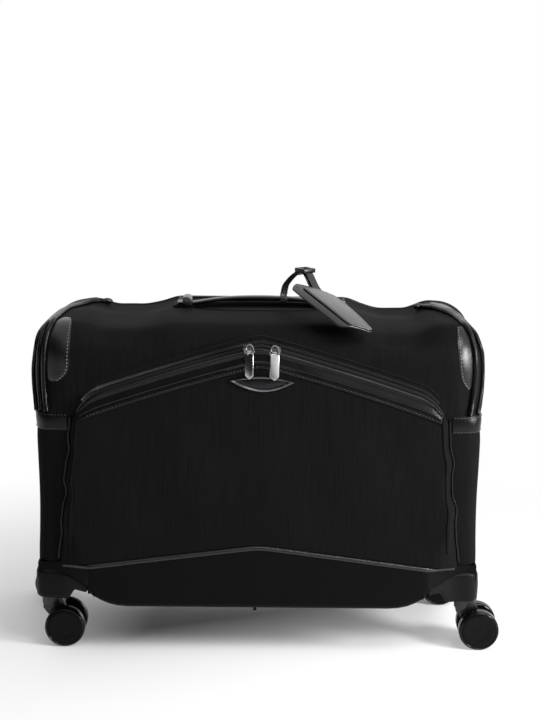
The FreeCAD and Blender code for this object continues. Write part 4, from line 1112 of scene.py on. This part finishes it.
nickel = metal_paint("nickel_bright", (0.5, 0.495, 0.485), 0.14, 0.1)
slider_metal = metal_paint("slider_metal_dark", (0.2, 0.2, 0.2), 0.18, 0.14)
pin_depth, zip_peak, zip_slope, pull_lean = -116.15, 385.8, 0.30476, -13
shoe_line = (
    (-6.4, -2.6), (-5.2, -3.9), (5.2, -3.2), (6.4, -2.0), (6.4, 5.0), (4.4, 8.6), (-4.4, 8.6), (-6.4, 5.0),
)
bail_line = (
    (-3.7, -115.2, 1), (-4.3, -116.4, 4.6), (-2.6, -116.8, 8.2), (0, -116.8, 9.4),
    (2.6, -116.8, 8.2), (4.3, -116.4, 4.6), (3.7, -115.2, 1),
)
blade_line = (
    (-2.4, -0.6), (-5.7, -1.5), (-6, -2.3), (-6, -28.2), (0, -33), (6, -28.2), (6, -2.3),
    (5.7, -1.5), (2.4, -0.6),
)
for side_name, middle, lean, twist in (("left", -13.0, 1, -33), ("right", 17.0, -1, 17)):
    level = zip_peak - zip_slope * abs(middle)
    tilt = lean * math.atan(zip_slope)
    turned = [
        (middle + x * math.cos(tilt) - z * math.sin(tilt), level + x * math.sin(tilt) + z * math.cos(tilt))
        for x, z in shoe_line
    ]
    drawn_in = [(middle + 0.9 * (x - middle), level + 0.93 * (z - level)) for x, z in turned]
    shoe = extruded("shoe", turned, -110.3, -113.2, 0.7)
    skirt = extruded("skirt", drawn_in, -108.6, -110.5, 0.3)
    pin = cross_bar("pin", middle, level, 4.2, 0.0011, 10)
    ears = []
    for x in (middle - 3.7, middle + 3.7):
        ear_line = square_line(x - 0.65, x + 0.65, level - 2.2, level + 2.2)
        ears.append(extruded("ear", ear_line, -113.0, -117.8, 0.45))
    bail_path = smooth_line([((middle + x) * MM, y * MM, (level + z) * MM) for x, y, z in bail_line], 28)
    bail = tube("bail", bail_path, 0.0011, 10)
    slider = joined("zip_slider_%s_cast" % side_name, [shoe, skirt, pin, bail] + ears)
    finish(slider, slider_metal, "slider_" + side_name, 35)
    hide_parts("zip_slider_" + side_name)
    blade = extruded("blade", blade_line, -1.2, 1.2, 0.7, 1)
    rounded(blade, 0.0004, 2)
    pin_place = Matrix.Translation((middle * MM, pin_depth * MM, level * MM))
    blade_lean = Matrix.Rotation(math.radians(pull_lean), 4, "X")
    blade_twist = Matrix.Rotation(math.radians(twist), 4, "Z")
    blade.data.transform(pin_place @ blade_lean @ blade_twist)
    eye = cross_bar("eye", middle, level, 2.5, 0.0024, 14)
    neck = extruded("neck", square_line(middle - 2.4, middle + 2.4, level, level - 4), -115.0, -117.3, 0.5)
    pull = joined("zip_pull_%s_cast" % side_name, [blade, eye, neck])
    finish(pull, nickel, "pull_" + side_name, 35)
    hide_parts("zip_pull_" + side_name)


# Carry handle: a low glossy black moulded grip between two metal end caps, whose legs slide in
# slots beside a shallow well that gives the fingers room.
def squared_turn(count, first_power, second_power):
    # Points round a squared circle, given as two rows of values from -1 to 1.
    turn = np.linspace(0, 2 * np.pi, count, endpoint=False)
    first, second = np.cos(turn), np.sin(turn)
    return np.sign(first) * np.abs(first) ** first_power, np.sign(second) * np.abs(second) ** second_power


def well_ring(scale, height):
    # The outline of the handle's opening, scaled, at a height in metres.
    x, y = squared_turn(72, 2 / WELL_POWER, 2 / WELL_POWER)
    return np.stack([WELL_HALF * scale * x, WELL_Y + WELL_DEEP * scale * y, np.full(72, height)], 1)


well = loft("handle_well_cup", [well_ring(scale, height) for scale, height in (
    (0.985, 0.4035), (1.02, 0.4062), (1.025, 0.4080), (1.01, 0.4086), (0.99, 0.4082), (0.978, 0.4060),
    (0.955, 0.3975), (0.92, 0.3938), (0.8, 0.3928), (0.4, 0.3926), (0.02, 0.3926),
)])
well_plastic = moulded_paint("well_plastic", (0.0028, 0.0028, 0.003), 0.5, 1600, 0.0001, 0.02)
finish(well, well_plastic, "case", 50)
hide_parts("handle_well")


handle_y = 53


def open_frame(wide, deep, inset, high, edge, place=(0, 0, 0)):
    # A flat rectangular frame with rounded edges.
    bpy.ops.object.select_all(action="DESELECT")
    bpy.ops.mesh.primitive_plane_add(size=1, location=place)
    bars = bpy.context.object
    bars.scale = (wide, deep, 1)
    bpy.ops.object.transform_apply(location=True, scale=True)
    open_all(bars)
    bpy.ops.mesh.inset(thickness=inset)
    bpy.ops.mesh.delete(type="FACE")
    bpy.ops.mesh.select_all(action="SELECT")
    bpy.ops.mesh.extrude_region_move(TRANSFORM_OT_translate={"value": (0, 0, high)})
    face_out()
    rounded(bars, edge, 3)
    return bars


brackets = joined("handle_brackets_cast", [
    open_frame(0.019, 0.032, 0.0038, 0.0024, 0.0009, (x, handle_y * MM, 0.4081)) for x in (-0.1025, 0.1025)
])
finish(brackets, well_plastic, "case", 35)
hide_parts("handle_brackets")


def slab_ring(middle, along, wide, thick, corner=0.42):
    # A rounded bar section, its width along Y, square to the given direction in XZ.
    across, up = squared_turn(28, corner, corner)
    lean = np.array([-along[2], 0, along[0]])
    lean = lean / np.linalg.norm(lean) * thick / 2
    return np.array(middle) + across[:, None] * np.array([0, wide / 2, 0]) + up[:, None] * lean


gloss_black = moulded_paint("handle_gloss", (0.0035, 0.0035, 0.0038), 0.17, 900, 0.00004, 0.14)
grip_half = ((94, 411.2), (84, 412.0), (72, 414.0), (58, 416.1), (40, 417.9), (20, 418.8))
grip_points = [(-x, handle_y, z) for x, z in grip_half] + [(0, handle_y, 419.1)]
grip_points += [(x, handle_y, z) for x, z in grip_half[::-1]]
grip_line = smooth_line(np.array(grip_points) * MM, 60)
grip_way = np.gradient(grip_line, axis=0)
grip_thick = 0.0044 + 0.0008 * np.cos(np.clip(np.abs(grip_line[:, 0]) / 0.09, 0, 1) * np.pi / 2)
grip = loft("carry_handle_grip", [
    slab_ring(spot, way, 0.0175, thick, 0.8) for spot, way, thick in zip(grip_line, grip_way, grip_thick)
])
finish(grip, gloss_black, "handle", 40)
leg_sections = ((0.391, 0.0095), (0.400, 0.0098), (0.412, 0.0098), (0.414, 0.009))
leg_pair = joined("carry_handle_legs", [
    loft("leg", [slab_ring((x, handle_y * MM, z), (0, 0, 1), 0.0218, thick) for z, thick in leg_sections])
    for x in (-0.103, 0.103)
])
finish(leg_pair, gloss_black, "handle", 40)
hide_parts("carry_handle")
caps = []
for way, crown in ((-1, 421.2), (1, 417.0)):
    cap_line = (
        (89.0, 408.9), (89.0, crown - 4.0), (90.2, crown - 1.4), (92.4, crown - 0.2), (97, crown),
        (99.8, crown - 1.2), (101, crown - 4.2), (101.2, 411.2), (98.2, 411.0), (97.2, 408.9),
    )
    caps.append(extruded("cap", [(way * x, z) for x, z in cap_line], 41.3, 64.7, 1.1, 3))
cap_pair = joined("handle_end_caps", caps)
finish(cap_pair, metal_paint("end_cap_satin", (0.2, 0.2, 0.205), 0.28, 0.15), "handle", 35)


def softened(node, name, width, steps):
    # A copy of a CAD solid with its hard edges rounded off.
    bpy.ops.object.select_all(action="DESELECT")
    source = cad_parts[node]
    copy = source.copy()
    copy.data = source.data.copy()
    bpy.context.scene.collection.objects.link(copy)
    copy.parent = None
    copy.matrix_world = Matrix.Identity(4)
    for key in list(copy.keys()):
        del copy[key]
    copy.name = name
    open_all(copy)
    bpy.ops.mesh.remove_doubles(threshold=0.00001)
    bpy.ops.mesh.dissolve_limited(angle_limit=math.radians(1.5))
    leave_edit()
    rounded(copy, width, steps, 28)
    return copy


feet = softened("handle_feet", "handle_feet_soft", 0.0006, 2)
finish(feet, base_plastic, "handle", 35)
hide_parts("handle_feet")


# Trolley: a moulded bezel let into the top at the back, a grip with a push button that lies in
# it, and anodised tubes that draw out in two stages through a lined channel.
def coat(node, paint):
    # Paints a CAD solid that keeps its own mesh.
    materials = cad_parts[node].data.materials
    materials.clear()
    materials.append(paint)


bezel = softened("trolley_bezel", "trolley_bezel_soft", 0.0004, 2)
finish(bezel, base_plastic, "case", 35)
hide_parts("trolley_bezel")
trolley_grip = softened("trolley_grip", "trolley_grip_soft", 0.0028, 4)
grip_plastic = moulded_paint("grip_plastic", (0.013, 0.013, 0.0135), 0.38, 1900, 0.0001)
finish(trolley_grip, grip_plastic, "trolley_top", 35)
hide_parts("trolley_grip")
button = softened("grip_button", "grip_button_soft", 0.0009, 3)
finish(button, metal_paint("button_satin", (0.3, 0.3, 0.31), 0.3, 0.15), "button", 35)
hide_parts("grip_button")
tube_metal = metal_paint("tube_anodised", (0.34, 0.345, 0.355), 0.3, 0.16)
for node in ("outer_tubes", "mid_tubes", "inner_tubes"):
    coat(node, tube_metal)

channel_plan = (
    (-114, 118.6), (-113.6, 96), (-111, 90.6), (-106, 88.6), (-60, 88.4), (0, 88.6), (60, 88.4),
    (106, 88.6), (111, 90.6), (113.6, 96), (114, 118.6),
)
channel_line = smooth_line([(x * MM, y * MM, 0) for x, y in channel_plan], 90)
channel_slack = 0.0006 * np.clip((0.105 - np.abs(channel_line[:, 0])) / 0.03, 0, 1)
channel_rows = []
for z in np.linspace(0.0705, 0.4035, 60):
    row = channel_line.copy()
    row[:, 2] = z
    row[:, 1] += channel_slack * (1 + np.sin(z * 75 + row[:, 0] * 22))
    channel_rows.append(row)
channel = sheet_grid("lining_channel_cloth", np.array(channel_rows), (0, 0.2, 0.24))
walled(channel, 0.0015)
finish(channel, lining, "case", 60)
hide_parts("lining_channel")


# Luggage tag: a narrow leather strap looped on the handle and doubled through a small dark
# buckle, carrying a stitched leather tag of two plies with a folded flap over its card.
def strap_ring(middle, along, wide_way, wide, thick):
    # A flat strap's section, square to its direction.
    along = np.array(along) / np.linalg.norm(along)
    across, rise = squared_turn(20, 0.3, 0.55)
    up = np.cross(along, wide_way) * thick / 2
    return np.array(middle) + across[:, None] * np.array(wide_way) * wide / 2 + rise[:, None] * up


tag_leather = leather_paint("tag_leather", (0.008, 0.008, 0.0083), 0.2, 1150, 0.00006, 0.75)
strap_turn = math.radians(-53.5)
strap_heading = np.array([math.cos(strap_turn), math.sin(strap_turn), 0])
strap_across = np.array([-strap_heading[1], strap_heading[0], 0])
strap_root = np.array([28, 54, 0])


def strap_length(name, steps, count, wide):
    # A length of strap through points given as distance along its heading and height, in mm.
    line = smooth_line([
        (strap_root + along * strap_heading + np.array([0, 0, 422.9 + above])) * MM for along, above in steps
    ], count)
    ways = np.gradient(line, axis=0)
    return loft(name, [strap_ring(spot, way, strap_across, wide, 0.0019) for spot, way in zip(line, ways)])


outer_run = strap_length("outer", (
    (0.8, 0.6), (1.6, 5), (4, 12), (12, 20.5), (22, 28.2), (31, 33.6), (39, 37.0), (45, 38.0), (51, 36.0),
    (56, 31.5), (61, 25.5), (67, 19.0), (74, 14.0),
), 70, 0.0105)
inner_run = strap_length("inner", (
    (30, 30.2), (38, 34.2), (44, 35.4), (49, 33.8), (53.5, 29.8), (58.5, 23.6), (64.5, 17.2), (71, 12.6),
), 44, 0.0135)
loop_deep, loop_high = squared_turn(48, 0.45, 0.6)
loop_spots = np.stack([
    np.full(48, strap_root[0]), handle_y + 12.6 * loop_deep, 418.4 + 5.0 * loop_high,
], 1) * MM
loop_ways = np.roll(loop_spots, -1, 0) - np.roll(loop_spots, 1, 0)
loop_rings = [strap_ring(spot, way, (1, 0, 0), 0.009, 0.0018) for spot, way in zip(loop_spots, loop_ways)]
loop_band = loft("loop", loop_rings + loop_rings[:1], caps=False)
strap = joined("tag_strap_leather", [outer_run, inner_run, loop_band])
finish(strap, tag_leather, "handle", 45)
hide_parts("tag_strap")

buckle = open_frame(0.0200, 0.0180, 0.0040, 0.0054, 0.0008)
buckle.name = "tag_buckle_cast"
buckle.location = (strap_root + 44.5 * strap_heading + np.array([0, 0, 457.8])) * MM
buckle.rotation_euler = (0, 0, strap_turn)
bpy.ops.object.transform_apply(location=True, rotation=True)
finish(buckle, metal_paint("buckle_black", (0.035, 0.035, 0.037), 0.25, 0.15), "handle", 35)
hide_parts("tag_buckle")

tag_turn = (
    Matrix.Rotation(math.radians(28.3), 4, "Z") @ Matrix.Rotation(math.radians(17.8), 4, "Y")
    @ Matrix.Rotation(math.radians(15.3), 4, "X")
)
tag_place = Matrix.Translation((0.038, -0.030, 0.4518)) @ tag_turn


def tag_bow(x, y):
    # The leather has set in a slight bow along its length, in mm.
    along = -2.3 * ((y + 46) / 48) ** 2 * (0.4 if y > -46 else 1.0)
    return along + 0.9 * math.sin(x / 60 * math.pi) - 0.06 * max(0.0, 9 - x) ** 2


def tag_across(x, y):
    # The tag's left edge runs in toward its foot while its right edge runs out, in mm.
    left = -1 + 9 * (min(y, 0.0) / 60) ** 2
    right = 61 * (0.93 - 0.2 * y / 106)
    return left + (x + 1) / 62 * (right - left)


def leather_ply(name, x0, x1, y0, y1, corner, low, high):
    # One ply of the tag: rounded outline, rolled edges, bowed, in the tag's own frame.
    ply = block((x1 - x0, y1 - y0, high - low), ((x0 + x1) / 2, (y0 + y1) / 2, (low + high) / 2))
    ply.name = name
    bevel_edges(ply, corner, 6, lambda a, b: abs(a.z - b.z) > 0.5)
    for level in np.arange(y0 + 5, y1 - 1, 5):
        cut_across(ply, (0, level, 0), (0, 1, 0))
    for across in np.arange(x0 + 6, x1 - 1, 6):
        cut_across(ply, (across, 0, 0), (1, 0, 0))
    rounded(ply, (high - low) * 0.32, 3, 50)
    for point in ply.data.vertices:
        point.co.z += tag_bow(point.co.x, point.co.y)
        point.co.x = tag_across(point.co.x, point.co.y)
        point.co *= MM
    ply.data.transform(tag_place)
    return ply


back_ply = leather_ply("tag_back_ply", -1, 61, -106, 0, 9.5, 0.0, 1.7)
front_ply = leather_ply("tag_front_ply", 6.5, 60.4, -105.4, -11, 8.5, 2.15, 3.6)
finish(back_ply, tag_leather, "tag", 40)
finish(front_ply, tag_leather, "tag", 40)
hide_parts("tag_plate")
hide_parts("tag_flap")


def rounded_line(x0, x1, y0, y1, corner):
    # Points round a rectangle with rounded corners, no more than about 3 mm apart.
    left, right, foot, head = x0 + corner, x1 - corner, y0 + corner, y1 - corner
    line = []
    for centre_x, centre_y, start in (
        (right, head, 0), (left, head, 90), (left, foot, 180), (right, foot, 270),
    ):
        for angle in np.radians(np.linspace(start, start + 90, 9)):
            line.append((centre_x + corner * math.cos(angle), centre_y + corner * math.sin(angle)))
    line.append(line[0])
    dense = []
    for (ax, ay), (bx, by) in zip(line[:-1], line[1:]):
        steps = max(1, int(math.hypot(bx - ax, by - ay) / 3))
        dense += [(ax + (bx - ax) * k / steps, ay + (by - ay) * k / steps) for k in range(steps)]
    return dense + [line[0]]


fold_line = [(x, -84 - 0.04 * x) for x in np.linspace(9.4, 57.4, 20)]
for seam_name, seam, lift in (
    ("tag_stitch_edge", rounded_line(9.2, 57.6, -102.6, -13.8, 6.5), 3.65),
    ("tag_stitch_head", rounded_line(3.2, 56.8, -10.4, -3.0, 3.4), 1.75),
    ("tag_stitch_fold", fold_line, 3.62),
):
    line = np.array([
        tag_place @ (Vector((tag_across(x, y), y, tag_bow(x, y) + lift)) * MM) for x, y in seam
    ])
    tag_up = np.tile(tag_turn @ Vector((0, 0, 1)), (len(line), 1))
    sew(seam_name, line, tag_up, "tag", thread_paint, 0.0031, 0.0022, 0.0007)


# Corner guards and casters: moulded guards screwed up under each corner, a steel pin and a
# swivelling fork in each, and twin wheels with soft glossy treads and bare plastic caps.
guard_plastic = moulded_paint("guard_plastic", (0.0046, 0.0046, 0.0049), 0.36, 1400, 0.0001, 0.1)
FRONT_AXLE, REAR_AXLE, WHEEL_RADIUS = -0.069, 0.095, 0.025
corner_x, corner_bend, guard_columns = 262, 13.5, 56
swivel_x, narrow_right = 0.258, 0.987
front_plan = [(210.5, -120.6), (222, -113.4), (233, -106.6), (241, -102.2), (249, -100.4), (258, -100.1)]
front_plan += [
    (corner_x + corner_bend * math.sin(turn), -86.5 - corner_bend * math.cos(turn))
    for turn in np.radians(np.linspace(8, 90, 9))
]
front_plan += [(275.5, y) for y in (-78, -68, -58, -48, -40)]
rear_plan = [(x, 123) for x in (216.5, 224, 234, 244, 253)]
rear_plan += [
    (corner_x + corner_bend * math.sin(turn), 109.5 + corner_bend * math.cos(turn))
    for turn in np.radians(np.linspace(4, 90, 9))
]
rear_plan += [(275.5, y) for y in (100, 92, 84, 75, 66)]


def full_turn(count):
    # Sideways and upward parts of even steps round a circle.
    turn = np.linspace(0, 2 * np.pi, count, endpoint=False)
    return np.cos(turn), np.sin(turn)


for corner_name, way, plan, row_y in (
    ("front_left", -1, front_plan, FRONT_AXLE), ("front_right", 1, front_plan, FRONT_AXLE),
    ("rear_left", -1, rear_plan, REAR_AXLE), ("rear_right", 1, rear_plan, REAR_AXLE),
):
    line = smooth_line([(x * MM, y * MM, 0) for x, y in plan], guard_columns)
    run = run_along(line) * 1000
    tangent = np.gradient(line, axis=0)
    side = np.stack([tangent[:, 1], -tangent[:, 0], np.zeros(guard_columns)], 1)
    side /= np.linalg.norm(side, axis=1)[:, None]
    if side[20] @ np.array([1, np.sign(line[0, 1]), 0]) < 0:
        side = -side
    reach = run[-1]
    top = 91 + 11.6 * ease(-6, 44, run)
    low = 80 - 14.6 * ease(19, 33, run) + 15 * ease(reach - 30, reach, run)
    tip = np.sqrt(np.clip(run / 2.5, 0.3, 1)) * np.sqrt(np.clip((reach - run) / 8.0, 0.05, 1))
    mid = (top + low) / 2
    top, low = mid + (top - mid) * tip, mid + (low - mid) * tip
    ends = np.sqrt(np.clip(np.minimum(run, reach - run) / 4.0 + 0.15, 0, 1))
    squeeze = np.array([way if way < 0 else narrow_right, 1, 1])
    rows = []
    for part in np.linspace(0, 1, 17):
        lip = 1 - min(1.0, min(part, 1 - part) / 0.12)
        proud = -3.2 + 3.2 * math.sqrt(max(0.0, 1 - lip ** 2)) + 0.8 * math.sin(math.pi * part)
        spot = line + side * ((proud * ends - 0.6) * MM)[:, None]
        spot[:, 2] = (low + (top - low) * part) * MM
        rows.append(spot * squeeze)
    corner_guard = sheet_grid("guard_%s_moulded" % corner_name, np.array(rows), (0, 0, 0.085))
    walled(corner_guard, 0.0032)
    finish(corner_guard, guard_plastic, "case", 45)
    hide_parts("corner_guard_" + corner_name)
    sideways, ahead = full_turn(48)
    boss = loft("boss_%s_moulded" % corner_name, [
        np.stack([
            way * swivel_x + radius * MM * sideways, row_y + radius * MM * ahead, np.full(48, high * MM),
        ], 1)
        for radius, high in ((4.2, 81.5), (4.2, 66.2), (14.6, 66.0), (15.6, 66.4), (16.2, 67.4), (16.6, 82.0))
    ], caps=False)
    finish(boss, guard_plastic, "case", 40)

steel = metal_paint("pin_steel_worn", (0.42, 0.42, 0.43), 0.3, 0.16)
coat("caster_pins", steel)
fork_plastic = moulded_paint("fork_plastic_satin", (0.006, 0.006, 0.0063), 0.3, 1500, 0.0001)
tread_rubber = moulded_paint("tread_gloss", (0.0035, 0.0035, 0.0038), 0.16, 1100, 0.00004, 0.22)
cap_plastic = moulded_paint("cap_satin", (0.0036, 0.0036, 0.0038), 0.36, 1700, 0.00008, 0.09)
wheel_profile = (
    (3.12, 22.0), (3.12, 9.0), (4.0, 8.8), (13.5, 8.8), (14.2, 9.5), (15.0, 10.4), (21.6, 10.4), (22.4, 9.6),
    (23.3, 9.2), (24.4, 9.9), (24.9, 11.2), (25.0, 13.0), (25.0, 20.6), (24.85, 22.2), (24.3, 23.6),
    (23.3, 24.5), (22.2, 24.8), (21.9, 24.6), (21.7, 24.2), (21.5, 24.0), (21.2, 24.2), (20.9, 24.45),
    (19.0, 24.6), (12.0, 24.75), (11.7, 24.6), (11.2, 24.55), (5.0, 24.6), (4.6, 24.7), (4.2, 24.75),
    (0.9, 24.78),
)
cap_edge = 0.0216
sideways, upward = full_turn(72)
for corner_name, ride_x, row_y in (
    ("front_left", -0.241, FRONT_AXLE), ("front_right", 0.275, FRONT_AXLE),
    ("rear_left", -0.275, REAR_AXLE), ("rear_right", 0.241, REAR_AXLE),
):
    fork = softened("caster_fork_" + corner_name, "fork_%s_moulded" % corner_name, 0.0012, 3)
    finish(fork, fork_plastic, "fork_" + corner_name, 35)
    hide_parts("caster_fork_" + corner_name)
    coat("caster_axle_" + corner_name, steel)
    discs = []
    for way in (-1, 1):
        discs.append(loft("disc", [np.stack([
            ride_x + radius * MM * sideways, np.full(72, row_y + way * reach * MM),
            WHEEL_RADIUS + radius * MM * upward,
        ], 1) for radius, reach in wheel_profile]))
    wheels = joined("wheels_%s_twin" % corner_name, discs)
    finish(wheels, tread_rubber, "wheels_" + corner_name, 40)
    wheels.data.materials.append(cap_plastic)
    for face in wheels.data.polygons:
        out = math.hypot(face.center.x - ride_x, face.center.z - WHEEL_RADIUS)
        face.material_index = 1 if out < cap_edge else 0
    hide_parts("caster_wheels_" + corner_name)


# Drain stud: a small black plug pressed up into the floor of the base pan near its front edge,
# moulded in the same plastic as the guards, with a rounded rim.
bpy.ops.object.select_all(action="DESELECT")
stud_place = (-0.0043, -0.112, 0.0598)
bpy.ops.mesh.primitive_cylinder_add(vertices=24, radius=0.0022, depth=0.005, location=stud_place)
stud = bpy.context.object
stud.name = "base_drain_stud"
bpy.ops.object.transform_apply(location=True)
rounded(stud, 0.0006, 3)
finish(stud, guard_plastic, "case", 35)
